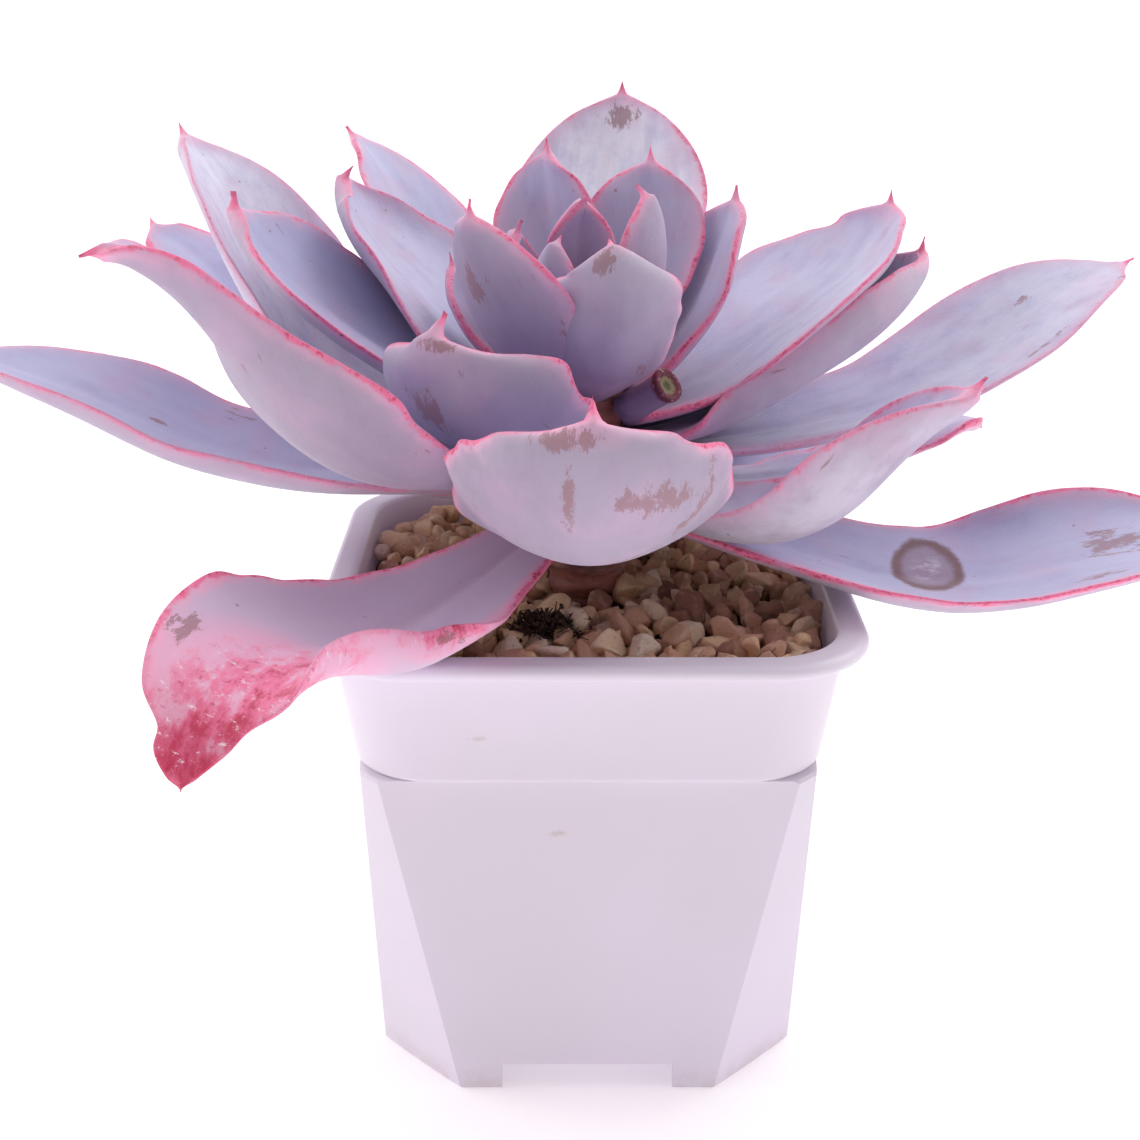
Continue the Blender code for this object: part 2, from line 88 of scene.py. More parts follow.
class Graph:
    """A node tree with short calls for the nodes that the finishes share."""

    def __init__(self, tree: bpy.types.NodeTree) -> None:
        """Keeps the tree and empties it."""
        self.tree = tree
        tree.nodes.clear()

    def node(self, kind: str, inputs: dict | None = None, **settings: object) -> bpy.types.Node:
        """Adds a node.

        Args:
            kind: The node's type name, without the ShaderNode in front.
            inputs: Values or sockets for its inputs, by input name or number.
            **settings: The node's own properties.

        Returns:
            The new node.
        """
        node = self.tree.nodes.new("ShaderNode" + kind)
        for name, value in settings.items():
            setattr(node, name, value)
        for name, value in (inputs or {}).items():
            self.feed(node.inputs[name], value)
        return node

    def feed(self, target: Socket, value: object) -> None:
        """Sets an input to a value, or links a socket to it.

        Args:
            target: The input.
            value: A number, a tuple or an output socket.
        """
        if isinstance(value, bpy.types.NodeSocket):
            self.tree.links.new(value, target)
        elif isinstance(value, tuple) and len(value) == 3 and target.type == "RGBA":
            target.default_value = (*value, 1.0)
        else:
            target.default_value = value

    def attribute(self, name: str, output: str = "Fac") -> Socket:
        """Reads a mesh attribute, as a number or from its Vector output."""
        return self.node("Attribute", attribute_name=name).outputs[output]

    def math(self, operation: str, first: object, second: object) -> Socket:
        """Works out one sum with the Math node."""
        return self.node("Math", {0: first, 1: second}, operation=operation).outputs[0]

    def times(self, first: object, second: object) -> Socket:
        """Multiplies two numbers or sockets."""
        return self.math("MULTIPLY", first, second)

    def plus(self, first: object, second: object) -> Socket:
        """Adds two numbers or sockets."""
        return self.math("ADD", first, second)

    def swing(self, noise: Socket, size: float) -> Socket:
        """Turns a noise into a swing about zero, as large as the size from end to end."""
        return self.times(self.math("SUBTRACT", noise, 0.5), size)

    def span(self, value: Socket, low: float, high: float, start: float = 0.0, end: float = 1.0) -> Socket:
        """Maps values between low and high smoothly onto start to end."""
        inputs = {"Value": value, "From Min": low, "From Max": high, "To Min": start, "To Max": end}
        return self.node("MapRange", inputs, interpolation_type="SMOOTHSTEP").outputs["Result"]

    def mix(self, share: object, first: object, second: object) -> Socket:
        """Mixes two colours.

        Args:
            share: How much of the second, as a number or socket.
            first: A colour or socket.
            second: A colour or socket.

        Returns:
            The mixed colour's socket.
        """
        node = self.node("Mix", data_type="RGBA")
        for name, value in zip((0, 6, 7), (share, first, second)):
            self.feed(node.inputs[name], value)
        return node.outputs[2]

    def noise(self, place: Socket, scale: float, detail: float = 3.0, rough: float = 0.55) -> Socket:
        """Adds a noise from 0 to 1, with this many waves in each unit of its coordinates."""
        inputs = {"Vector": place, "Scale": scale, "Detail": detail, "Roughness": rough}
        return self.node("TexNoise", inputs).outputs["Fac"]

    def place(self) -> Socket:
        """The piece's own coordinates, in metres."""
        return self.node("TexCoord").outputs["Object"]

    def axes(self, vector: Socket) -> bpy.types.bpy_prop_collection:
        """Splits a vector into its X, Y and Z sockets."""
        return self.node("SeparateXYZ", {0: vector}).outputs

    def stretch(self, place: Socket, scale: tuple) -> Socket:
        """Scales coordinates along each axis."""
        return self.node("Mapping", {"Vector": place, "Scale": scale}).outputs["Vector"]

    def bump(self, height: Socket, strength: float, depth: float) -> Socket:
        """Adds a bump whose full height is the depth, in metres."""
        inputs = {"Height": height, "Strength": strength, "Distance": depth}
        return self.node("Bump", inputs).outputs["Normal"]


class Coat:
    """A colour that others are laid over, one after another."""

    def __init__(self, graph: Graph, colour: object) -> None:
        """Starts with a first colour or socket."""
        self.graph = graph
        self.colour = colour

    def lay(self, share: object, colour: object) -> None:
        """Lays a colour or socket over the coat, as thickly as its share."""
        self.colour = self.graph.mix(share, self.colour, colour)


# -------------------------------------------------------------------- finishes


class Finish:
    """A finish that makes its own material."""

    name: str

    def material(self) -> bpy.types.Material:
        """Builds the material.

        Returns:
            The material, with the shader fed by the finish's own nodes.
        """
        material = bpy.data.materials.new(self.name)
        material.use_nodes = True
        graph = Graph(material.node_tree)
        shader = graph.node("BsdfPrincipled", self.paint(graph))
        graph.node("OutputMaterial", {"Surface": shader.outputs[0]})
        return material

    def paint(self, graph: Graph) -> dict:
        """Adds the finish's nodes and gives the shader's inputs, by name."""
        raise NotImplementedError


@dataclass(frozen=True)
class LeafSkin(Finish):
    """Fleshy leaf under a powdery coat, with pink margins, red tips and old marks; painted shade darkens the
    leaf bases and the inner leaves, the pale powder is partly painted backlight, and the dried drop holds a
    painted highlight.
    """

    name: ClassVar[str] = "leaf_bloom"
    upper: tuple = (0.45, 0.45, 0.70)
    under: tuple = (0.38, 0.315, 0.43)
    flushed: tuple = (0.78, 0.60, 0.76)
    # Pale powder, also used as painted backlight on the leaves lit from behind and as a painted highlight in
    # the dried drop.
    powder_and_painted_light: tuple = (0.88, 0.85, 0.98)
    # Deep purple for streaks and rubbed powder, and also painted shade on the younger leaves towards the
    # centre.
    inner: tuple = (0.38, 0.29, 0.47)
    # Painted shade: the dark purple laid over each leaf's base, where the leaves overlap deep in the rosette.
    painted_base_shade: tuple = (0.24, 0.13, 0.26)
    blush: tuple = (0.66, 0.42, 0.60)
    margin: tuple = (0.95, 0.20, 0.38)
    pink: tuple = (0.95, 0.47, 0.66)
    red: tuple = (0.58, 0.035, 0.10)
    brown: tuple = (0.20, 0.09, 0.09)
    dry: tuple = (0.33, 0.16, 0.17)
    stain: tuple = (0.26, 0.16, 0.22)
    pale: tuple = (0.95, 0.82, 0.90)

    def paint(self, graph: Graph) -> dict:
        """Adds the finish's nodes.

        Args:
            graph: The material's graph.

        Returns:
            The shader's inputs, by name.
        """
        skin = graph.attribute("skin", "Vector")
        edge = graph.attribute("edge")
        tip = graph.attribute("tip")
        base = graph.attribute("base")
        streaks = graph.noise(graph.stretch(skin, (1.0, 0.14, 1.0)), 0.45, 4.0)
        mottle = graph.noise(skin, 0.09, 4.0)
        grain = graph.noise(skin, 2.4, 4.0, 0.65)
        rubbed = graph.noise(graph.stretch(skin, (1.0, 0.5, 1.0)), 0.2, 5.0, 0.65)
        coat = Coat(graph, self.upper)
        coat.lay(graph.attribute("under"), self.under)
        # Painted shade: the younger leaves towards the centre are darkened towards the deep purple.
        coat.lay(graph.times(graph.attribute("youth"), 0.45), self.inner)
        # Painted backlight: the pale powder is laid more thickly on the leaves lit from behind.
        powder_and_backlight_share = graph.times(graph.span(rubbed, 0.30, 0.62, 0.55, 1.0), graph.attribute("bloom"))
        coat.lay(powder_and_backlight_share, self.powder_and_painted_light)
        # Painted shade: each leaf darkens towards its base, in the shade deep inside the rosette.
        coat.lay(graph.span(base, 24.0, 1.0, 0.0, 0.85), self.painted_base_shade)
        coat.lay(graph.span(mottle, 0.44, 0.74, 0.0, 0.38), self.blush)
        coat.lay(graph.span(streaks, 0.50, 0.80, 0.0, 0.16), self.inner)
        coat.lay(graph.span(rubbed, 0.42, 0.26, 0.0, 0.2), self.inner)
        coat.lay(graph.span(edge, 5.0, 0.4, 0.0, 0.4), self.blush)
        coat.lay(graph.span(graph.attribute("flush"), 1.1, 1.4, 0.0, 0.8), self.flushed)
        self.marks(graph, coat, skin)
        self.rim(graph, coat, skin, edge, tip)
        self.damage(graph, coat, skin)
        relief = graph.plus(graph.times(grain, 0.6), graph.times(streaks, 0.3))
        return {
            "Base Color": coat.colour,
            "Roughness": graph.span(streaks, 0.3, 0.8, 0.50, 0.68),
            "Normal": graph.bump(relief, 0.35, 0.0004),
            "Subsurface Weight": 0.15,
            "Subsurface Radius": (1.0, 0.45, 0.6),
            "Subsurface Scale": 0.0018,
            "Sheen Weight": 0.12,
            "Sheen Roughness": 0.5,
            "Specular IOR Level": 0.35,
        }

    def rim(self, graph: Graph, coat: Coat, skin: Socket, edge: Socket, tip: Socket) -> None:
        """Lays the pink margin and the red tip over the coat.

        Args:
            graph: The material's graph.
            coat: The coat.
            skin: The blade's own coordinates.
            edge: The distance from the margin.
            tip: The distance from the tip.
        """
        ragged = graph.noise(skin, 0.42, 4.0, 0.6)
        strength = graph.noise(skin, 0.12, 2.0)
        reach = graph.swing(ragged, 2.2)
        ragged_edge = graph.plus(edge, reach)
        flush = graph.times(graph.attribute("flush"), graph.span(strength, 0.28, 0.60, 0.35, 1.0))
        glow = graph.times(graph.span(ragged_edge, 2.8, 0.6, 0.0, 0.6), flush)
        coat.lay(graph.times(glow, flush), self.pink)
        line = graph.span(ragged_edge, 1.0, 0.3)
        coat.lay(graph.times(line, flush), self.margin)
        flecked = graph.noise(skin, 0.9, 5.0, 0.7)
        core = graph.times(graph.span(ragged_edge, 0.9, 0.0, 0.0, 0.85), graph.span(flecked, 0.50, 0.60))
        coat.lay(graph.times(core, flush), self.red)
        burnt = graph.times(graph.span(edge, 1.1, 0.3, 0.0, 0.8), graph.span(flecked, 0.40, 0.34))
        coat.lay(graph.times(burnt, graph.span(strength, 0.52, 0.62)), self.brown)
        far = graph.plus(tip, graph.times(reach, 1.6))
        coat.lay(graph.span(far, 7.5, 2.5, 0.0, 0.5), self.pink)
        coat.lay(graph.span(far, 3.4, 1.0, 0.0, 0.85), self.margin)
        coat.lay(graph.span(tip, 1.3, 0.2, 0.0, 0.75), self.red)

    def marks(self, graph: Graph, coat: Coat, skin: Socket) -> None:
        """Adds the fine scratches and specks in the powdery coat.

        Args:
            graph: The material's graph.
            coat: The coat.
            skin: The blade's own coordinates.
        """
        fine = graph.noise(graph.stretch(skin, (1.7, 0.25, 1.0)), 0.5, 3.0)
        patch = graph.noise(skin, 0.06, 1.0)
        scratch = graph.times(graph.span(fine, 0.66, 0.71), graph.span(patch, 0.52, 0.60))
        coat.lay(graph.times(scratch, 0.65), self.dry)
        chips = graph.noise(skin, 1.1, 5.0, 0.8)
        chipped = graph.times(graph.span(chips, 0.66, 0.70), graph.span(patch, 0.44, 0.36))
        coat.lay(graph.times(chipped, 0.6), self.brown)
        cells = graph.node("TexVoronoi", {"Vector": skin, "Scale": 0.13}).outputs["Distance"]
        speck = graph.span(cells, 0.05, 0.03, 0.0, 0.5)
        coat.lay(speck, self.brown)

    def damage(self, graph: Graph, coat: Coat, skin: Socket) -> None:
        """Adds the scars, the reddened scald, the dried drop's ring and a painted highlight inside the drop.

        Args:
            graph: The material's graph.
            coat: The coat.
            skin: The blade's own coordinates.
        """
        torn = graph.noise(graph.stretch(skin, (1.0, 0.6, 1.0)), 0.22, 7.0, 0.7)
        flecks = graph.noise(graph.stretch(skin, (0.6, 1.1, 1.0)), 0.8, 7.0, 0.78)
        scald = graph.attribute("scald")
        coat.lay(graph.span(scald, 0.0, 0.55, 0.0, 0.8), self.pink)
        sore = graph.plus(scald, graph.swing(torn, 3.2))
        coat.lay(graph.times(graph.span(sore, 0.55, 0.95, 0.0, 0.9), scald), self.margin)
        deep = graph.times(graph.span(sore, 0.95, 1.35, 0.0, 0.9), scald)
        coat.lay(deep, self.red)
        withered = graph.times(graph.span(graph.attribute("tip"), 16.0, 3.0, 0.0, 0.95), scald)
        coat.lay(graph.times(withered, graph.span(torn, 0.35, 0.6, 0.5, 1.0)), self.red)
        veins = graph.times(graph.span(scald, 0.3, 0.8), graph.span(flecks, 0.56, 0.66, 0.0, 0.8))
        coat.lay(veins, self.red)
        flaking = graph.times(graph.span(scald, 0.3, 0.7), graph.span(flecks, 0.43, 0.35, 0.0, 0.9))
        coat.lay(flaking, self.pale)
        slanted = {"Vector": skin, "Rotation": (0.0, 0.0, 0.7), "Scale": (1.2, 0.5, 1.0)}
        hatch = graph.noise(graph.node("Mapping", slanted).outputs["Vector"], 0.42, 8.0, 0.8)
        worn = graph.plus(graph.attribute("scar"), graph.swing(hatch, 3.2))
        fade = graph.span(graph.attribute("scar"), 0.05, 0.5, 0.0, 0.7)
        coat.lay(graph.times(graph.span(worn, 0.78, 0.92), fade), self.dry)
        drop = graph.attribute("drop")
        wobble = graph.plus(drop, graph.times(graph.noise(skin, 0.35), 1.4))
        coat.lay(graph.span(wobble, 6.3, 5.3, 0.0, 0.65), self.stain)
        # Painted highlight: a pale patchy smear inside the dried drop stands in for its shine.
        cloud = graph.times(graph.span(wobble, 4.2, 2.0), graph.span(torn, 0.42, 0.60, 0.0, 0.55))
        coat.lay(cloud, self.powder_and_painted_light)
        ring = graph.times(graph.span(wobble, 7.3, 6.2), graph.span(wobble, 4.3, 5.9))
        coat.lay(graph.times(ring, 0.9), self.brown)


@dataclass(frozen=True)
class PotPlastic(Finish):
    """Moulded white plastic with a faint lilac cast, rubbed a little and marked with soil."""

    name: ClassVar[str] = "pot_white_plastic"
    white: tuple = (0.79, 0.73, 0.81)
    cooler: tuple = (0.83, 0.76, 0.88)
    soil: tuple = (0.50, 0.36, 0.30)
    smears: tuple = ((-0.0175, 0.0695), (-0.0045, 0.051))
    smear_size: tuple = (0.0024, 0.0008)

    def smear(self, graph: Graph, coat: Coat, place: Socket, dust: Socket, spot: tuple) -> None:
        """Adds a faint smear of soil on the pot's front.

        Args:
            graph: The material's graph.
            coat: The coat.
            place: The pot's own coordinates.
            dust: The noise that makes it ragged.
            spot: Its X and Z.
        """
        centred = {"Vector": place, "Location": (-spot[0], 0.0, -spot[1])}
        shifted = graph.node("Mapping", centred).outputs["Vector"]
        flat = graph.stretch(shifted, (1 / self.smear_size[0], 0.0, 1 / self.smear_size[1]))
        far = graph.node("VectorMath", {0: flat}, operation="LENGTH").outputs["Value"]
        ragged = graph.plus(far, graph.times(dust, 3.0))
        front = graph.span(graph.axes(place)["Y"], -0.02, -0.03)
        coat.lay(graph.times(graph.span(ragged, 2.4, 1.5, 0.0, 0.4), front), self.soil)

    def paint(self, graph: Graph) -> dict:
        """Adds the finish's nodes.

        Args:
            graph: The material's graph.

        Returns:
            The shader's inputs, by name.
        """
        place = graph.place()
        cloud = graph.noise(place, 22.0, 2.0)
        fine = graph.noise(place, 900.0, 2.0)
        dust = graph.noise(place, 260.0, 5.0, 0.7)
        coat = Coat(graph, self.white)
        coat.lay(graph.span(cloud, 0.35, 0.7), self.cooler)
        coat.lay(graph.span(dust, 0.72, 0.80, 0.0, 0.22), self.soil)
        height = graph.axes(place)["Z"]
        grime = graph.times(graph.span(height, 0.006, 0.0), graph.span(dust, 0.35, 0.6))
        coat.lay(graph.times(grime, 0.25), self.soil)
        for spot in self.smears:
            self.smear(graph, coat, place, dust, spot)
        return {
            "Base Color": coat.colour,
            "Roughness": graph.span(cloud, 0.3, 0.7, 0.30, 0.42),
            "Normal": graph.bump(fine, 0.06, 0.0002),
            "Subsurface Weight": 0.12,
            "Subsurface Radius": (1.0, 0.9, 1.0),
            "Subsurface Scale": 0.003,
        }


@dataclass(frozen=True)
class BakedClay(Finish):
    """Dry porous grains, from cream through tan to dark brown."""

    name: ClassVar[str] = "baked_clay_grains"
    dark: tuple = (0.40, 0.20, 0.14)
    red: tuple = (0.74, 0.43, 0.30)
    tan: tuple = (0.92, 0.64, 0.40)
    cream: tuple = (0.95, 0.78, 0.62)

    def paint(self, graph: Graph) -> dict:
        """Adds the finish's nodes.

        Args:
            graph: The material's graph.

        Returns:
            The shader's inputs, by name.
        """
        place = graph.place()
        tone = graph.attribute("tone")
        pores = graph.noise(place, 1300.0, 5.0, 0.7)
        patches = graph.noise(place, 420.0, 3.0)
        coat = Coat(graph, self.dark)
        coat.lay(graph.span(tone, 0.0, 0.28), self.red)
        coat.lay(graph.span(tone, 0.28, 0.60), self.tan)
        coat.lay(graph.span(tone, 0.66, 1.0), self.cream)
        coat.lay(graph.span(patches, 0.5, 0.75, 0.0, 0.4), self.cream)
        coat.lay(graph.span(pores, 0.44, 0.32, 0.0, 0.45), self.dark)
        return {
            "Base Color": coat.colour,
            "Roughness": 0.92,
            "Normal": graph.bump(pores, 0.7, 0.0006),
            "Specular IOR Level": 0.25,
        }


@dataclass(frozen=True)
class Woody(Finish):
    """A dry fibrous surface in two tones, for the stem, the bed under the grit and the peat."""

    name: str
    light: tuple
    dark: tuple
    scale: float = 420.0
    roughness: float = 0.8
    depth: float = 0.0006

    def paint(self, graph: Graph) -> dict:
        """Adds the finish's nodes.

        Args:
            graph: The material's graph.

        Returns:
            The shader's inputs, by name.
        """
        place = graph.place()
        rings = graph.noise(graph.stretch(place, (0.4, 0.4, 1.6)), self.scale, 4.0, 0.6)
        flecks = graph.noise(place, self.scale * 2.5, 4.0, 0.7)
        coat = Coat(graph, self.dark)
        coat.lay(graph.span(rings, 0.36, 0.64), self.light)
        coat.lay(graph.span(flecks, 0.60, 0.70, 0.0, 0.6), self.dark)
        return {
            "Base Color": coat.colour,
            "Roughness": self.roughness,
            "Normal": graph.bump(rings, 0.6, self.depth),
        }


@dataclass(frozen=True)
class CutStalk(Finish):
    """A cut stalk: powdery purple skin, a dark red rind, drying pith and a green-brown core."""

    name: ClassVar[str] = "cut_stalk_end"
    skin: tuple = (0.30, 0.22, 0.36)
    rind: tuple = (0.15, 0.03, 0.05)
    pith: tuple = (0.24, 0.19, 0.10)
    core: tuple = (0.10, 0.10, 0.045)
    flake: tuple = (0.50, 0.26, 0.30)

    def paint(self, graph: Graph) -> dict:
        """Adds the finish's nodes.

        Args:
            graph: The material's graph.

        Returns:
            The shader's inputs, by name.
        """
        place = graph.place()
        spread = graph.attribute("spread")
        fibres = graph.noise(place, 1500.0, 4.0, 0.7)
        ragged = graph.plus(spread, graph.swing(fibres, 0.3))
        coat = Coat(graph, self.core)
        coat.lay(graph.span(ragged, 0.20, 0.42), self.pith)
        coat.lay(graph.span(ragged, 0.54, 0.66), self.rind)
        chips = graph.noise(place, 700.0, 4.0, 0.75)
        flaked = graph.times(graph.span(chips, 0.54, 0.62), graph.span(ragged, 0.66, 0.80))
        coat.lay(flaked, self.flake)
        coat.lay(graph.attribute("flank"), self.skin)
        return {
            "Base Color": coat.colour,
            "Roughness": 0.75,
            "Normal": graph.bump(fibres, 0.7, 0.0005),
        }


@dataclass(frozen=True)
class StudioFloor(Finish):
    """A seamless white sheet, lit a little from below."""

    name: ClassVar[str] = "studio_floor"
    white: tuple = (0.97, 0.935, 0.96)
    glow: float = 0.3

    def paint(self, graph: Graph) -> dict:
        """Adds the finish's nodes.

        Args:
            graph: The material's graph.

        Returns:
            The shader's inputs, by name.
        """
        place = graph.place()
        tooth = graph.noise(place, 300.0, 2.0)
        return {
            "Base Color": (*self.white, 1.0),
            "Roughness": 0.9,
            "Normal": graph.bump(tooth, 0.02, 0.0001),
            "Emission Color": (*self.white, 1.0),
            "Emission Strength": self.glow,
        }


# -------------------------------------------------------------- mesh building


def add_mesh(name: str, points: np.ndarray, faces: list, material: bpy.types.Material) -> bpy.types.Object:
    """Makes a smooth-shaded object.

    Args:
        name: The object's name.
        points: Corner places in millimetres, one row each.
        faces: Corner numbers of each face.
        material: The finish.

    Returns:
        The new object.
    """
    mesh = bpy.data.meshes.new(name)
    mesh.from_pydata((np.asarray(points) * MM).tolist(), [], faces)
    mesh.validate()
    mesh.shade_smooth()
    mesh.materials.append(material)
    piece = bpy.data.objects.new(name, mesh)
    bpy.context.scene.collection.objects.link(piece)
    return piece


def tube_faces(rings: int, count: int) -> list:
    """Faces of a closed tube through rings of equal count.

    Args:
        rings: How many rings there are.
        count: The points in each.

    Returns:
        The faces.
    """
    start = np.arange(rings - 1)[:, None] * count
    here = np.arange(count)[None, :]
    after = (here + 1) % count
    quads = np.stack([start + here, start + after, start + count + after, start + count + here], axis=-1)
    ends = [list(range(count))[::-1], list(range((rings - 1) * count, rings * count))]
    return quads.reshape(-1, 4).tolist() + ends


def face_outwards(piece: bpy.types.Object) -> None:
    """Turns a closed piece's faces outwards.

    Args:
        piece: The object.
    """
    body = bmesh.new()
    body.from_mesh(piece.data)
    bmesh.ops.recalc_face_normals(body, faces=body.faces)
    body.to_mesh(piece.data)
    body.free()


def add_tube(name: str, rings: object, material: bpy.types.Material) -> bpy.types.Object:
    """Makes a closed tube through rings of equal count, facing outwards.

    Args:
        name: The object's name.
        rings: The rings' points, in order.
        material: The finish.

    Returns:
        The new object.
    """
    piece = add_mesh(name, np.vstack(rings), tube_faces(len(rings), len(rings[0])), material)
    face_outwards(piece)
    return piece


def circle(count: int) -> np.ndarray:
    """Equally spaced angles round a full turn, in radians."""
    return np.linspace(0, 2 * np.pi, count + 1)[:-1]


def level_ring(radius: np.ndarray, turns: np.ndarray, z: object) -> np.ndarray:
    """Points round the Z axis, at a radius and height for each angle."""
    return np.column_stack([radius * np.cos(turns), radius * np.sin(turns), np.broadcast_to(z, turns.size)])


def store(piece: bpy.types.Object, name: str, values: np.ndarray) -> None:
    """Stores a value for each point as a mesh attribute.

    Args:
        piece: The object.
        name: The attribute's name.
        values: One number or one vector for each point.
    """
    kind, key = ("FLOAT", "value") if values.ndim == 1 else ("FLOAT_VECTOR", "vector")
    attribute = piece.data.attributes.new(name, kind, "POINT")
    attribute.data.foreach_set(key, np.ascontiguousarray(values, dtype=np.float32).ravel())


def place_piece(piece: bpy.types.Object, slot: Slot, *nodes: str) -> None:
    """Ties a piece to the frame and reports it.

    Args:
        piece: The object.
        slot: The record's slot that its finish comes from; not used.
        *nodes: The nodes that it stands for.
    """
    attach(piece, BODY)
    if nodes:
        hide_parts(*nodes)
    LOG.info("%s: %d faces", piece.name, len(piece.data.polygons))


def settle(piece: bpy.types.Object) -> None:
    """Applies a piece's modifiers to its mesh.

    Args:
        piece: The object.
    """
    graph = bpy.context.evaluated_depsgraph_get()
    mesh = bpy.data.meshes.new_from_object(piece.evaluated_get(graph))
    piece.modifiers.clear()
    piece.data = mesh


def ease(share: np.ndarray) -> np.ndarray:
    """A smooth step from 0 to 1."""
    share = np.clip(share, 0.0, 1.0)
    return share * share * (3 - 2 * share)


def along(values: tuple, share: np.ndarray) -> np.ndarray:
    """Reads a smooth curve through equally spaced values.

    Args:
        values: The values.
        share: Shares of the curve's length.

    Returns:
        The curve's value at each share.
    """
    spans = len(values) - 1
    padded = np.array([2 * values[0] - values[1], *values, 2 * values[-1] - values[-2]], dtype=float)
    i = np.minimum((share * spans).astype(int), spans - 1)
    t = share * spans - i
    p0, p1, p2, p3 = (padded[i + k] for k in range(4))
    curve = 2 * p1 + (p2 - p0) * t
    curve += (2 * p0 - 5 * p1 + 4 * p2 - p3) * t**2
    curve += (3 * p1 - p0 - 3 * p2 + p3) * t**3
    return curve / 2


# -------------------------------------------------------------------- the pot


@dataclass
class Pot:
    """The square pot: flared lip, rounded collar, and a body that turns eight-sided at its foot."""

    rim_half: float
    height: float
    rim_corner: float = 16.0
    lip_depth: float = 3.0
    lip_reach: float = 3.8
    collar_depth: float = 20.0
    collar_taper: float = 2.6
    collar_corner: float = 12.5
    step_in: float = 1.4
    foot_half: float = 36.5
    foot_chamfer: float = 14.5
    top_chamfer: float = 3.0
    wall: float = 1.2
    foot_wall: float = 2.0
    floor: float = 1.4
    underside: float = 6.0
    notch_half: float = 14.8
    notch_height: float = 5.2
    drain_radius: float = 4.5
    drain_offset: float = 17.0
    drain_sides: int = 40
    foot_edge: float = 0.4
    edge_round: float = 0.9
    collar_round: float = 0.7
    inner_flare: float = 1.7
    corner_steps: int = 14
    side_steps: int = 6
    body_steps: int = 14
    sharp_angle: float = 32.0
    finish: PotPlastic = field(default_factory=PotPlastic)

    @property
    def lip_bottom(self) -> float:
        """The height of the lip's underside."""
        return self.height - self.lip_depth

    @property
    def collar_bottom(self) -> float:
        """The height at which the collar steps in to the body."""
        return self.lip_bottom - self.collar_depth

    @property
    def collar_top_half(self) -> float:
        """The collar's half width under the lip."""
        return self.rim_half - self.lip_reach

    @property
    def collar_bottom_half(self) -> float:
        """The collar's half width at its lower edge."""
        return self.collar_top_half - self.collar_taper

    def ring(self, half: float, cut: float, z: float, bulge: float = 1.0) -> np.ndarray:
        """A square ring with its corners cut back.

        Args:
            half: Half the ring's width.
            cut: How far the corners are cut back.
            z: The ring's height.
            bulge: 1 for round corners, 0 for straight chamfers.

        Returns:
            The ring's points.
        """
        share = np.linspace(0, 1, self.corner_steps + 1)
        angle = np.radians(90) * share
        arc = np.stack([half - cut + cut * np.cos(angle), half - cut + cut * np.sin(angle)], axis=1)
        flat = np.stack([half - cut * share, half - cut * (1 - share)], axis=1)
        corner = flat + (arc - flat) * bulge
        steps = np.arange(1, self.side_steps) / self.side_steps
        side = np.stack([(half - cut) * (1 - 2 * steps), np.full_like(steps, half)], axis=1)
        quarter = np.vstack([corner, side])
        turned = [quarter]
        for _ in range(3):
            last = turned[-1]
            turned.append(np.stack([-last[:, 1], last[:, 0]], axis=1))
        flat_ring = np.vstack(turned)
        return np.column_stack([flat_ring, np.full(len(flat_ring), z)])

    def chamfer_at(self, z: float) -> float:
        """The body's corner chamfer at a height."""
        return self.foot_chamfer + (self.top_chamfer - self.foot_chamfer) * z / self.collar_bottom

    def body_half(self, z: float) -> float:
        """The body's half width at a height."""
        top = self.collar_bottom_half - self.step_in
        return self.foot_half + (top - self.foot_half) * z / self.collar_bottom

    def outer_rings(self) -> list:
        """Rings from the underside's hollow, round the foot and up the outside to the lip.

        Returns:
            The rings in order.
        """
        hollow = self.foot_half - self.foot_wall
        inner_cut = self.foot_chamfer - self.foot_wall * (2 - math.sqrt(2))
        rows = [(hollow, inner_cut, self.underside, 0.0), (hollow, inner_cut, 0.3, 0.0)]
        rows.append((hollow + 0.3, inner_cut, 0.0, 0.0))
        rows.append((self.foot_half - self.foot_edge, self.foot_chamfer, 0.0, 0.0))
        low = self.collar_bottom
        for z in np.linspace(self.foot_edge, low - self.edge_round, self.body_steps):
            rows.append((self.body_half(z), self.chamfer_at(z), z, 0.04))
        rows.append((self.body_half(low) + 0.15, self.top_chamfer + 1.5, low - 0.35, 0.3))
        for turn in np.radians(np.linspace(-80, 0, 6)):
            half = self.collar_bottom_half - self.collar_round + self.collar_round * math.cos(turn)
            rows.append((half, self.collar_corner, low + self.edge_round + self.edge_round * math.sin(turn)))
        rows.append((self.collar_top_half - 0.1, self.collar_corner, self.lip_bottom - 0.7))
        rows.append((self.collar_top_half + 0.3, self.collar_corner + 0.3, self.lip_bottom - 0.2))
        rows.append((self.rim_half - 1.3, self.rim_corner - 0.5, self.lip_bottom + 0.25))
        radius = (self.lip_depth - 0.3) / 2
        for turn in np.radians(np.linspace(-60, 90, 9)):
            half = self.rim_half - radius * (1 - math.cos(turn))
            rows.append((half, self.rim_corner, self.height - radius + radius * math.sin(turn)))
        return [self.ring(*row) for row in rows]

    def inner_rings(self) -> list:
        """Rings from the lip's top down the inside to the floor.

        Returns:
            The rings in order.
        """
        inner = self.collar_top_half - self.wall
        rows = [(inner + self.inner_flare, self.collar_corner + 1.4, self.height)]
        for turn in np.radians(np.linspace(20, 90, 5)):
            half = inner + self.edge_round - self.edge_round * math.sin(turn)
            z = self.height - self.edge_round + self.edge_round * math.cos(turn)
            rows.append((half, self.collar_corner, z))
        taper = self.collar_taper / self.collar_depth
        shoulder = self.collar_bottom + self.wall
        half = self.collar_bottom_half + taper * (shoulder - self.collar_bottom) - self.wall
        rows.append((half, self.collar_corner - self.wall, shoulder))
        for z in (self.collar_bottom - self.wall, self.underside + self.floor):
            cut = self.chamfer_at(z) - self.wall * (2 - math.sqrt(2))
            rows.append((self.body_half(z) - self.wall, max(cut, 0.5), z, 0.0))
        return [self.ring(*row) for row in rows]

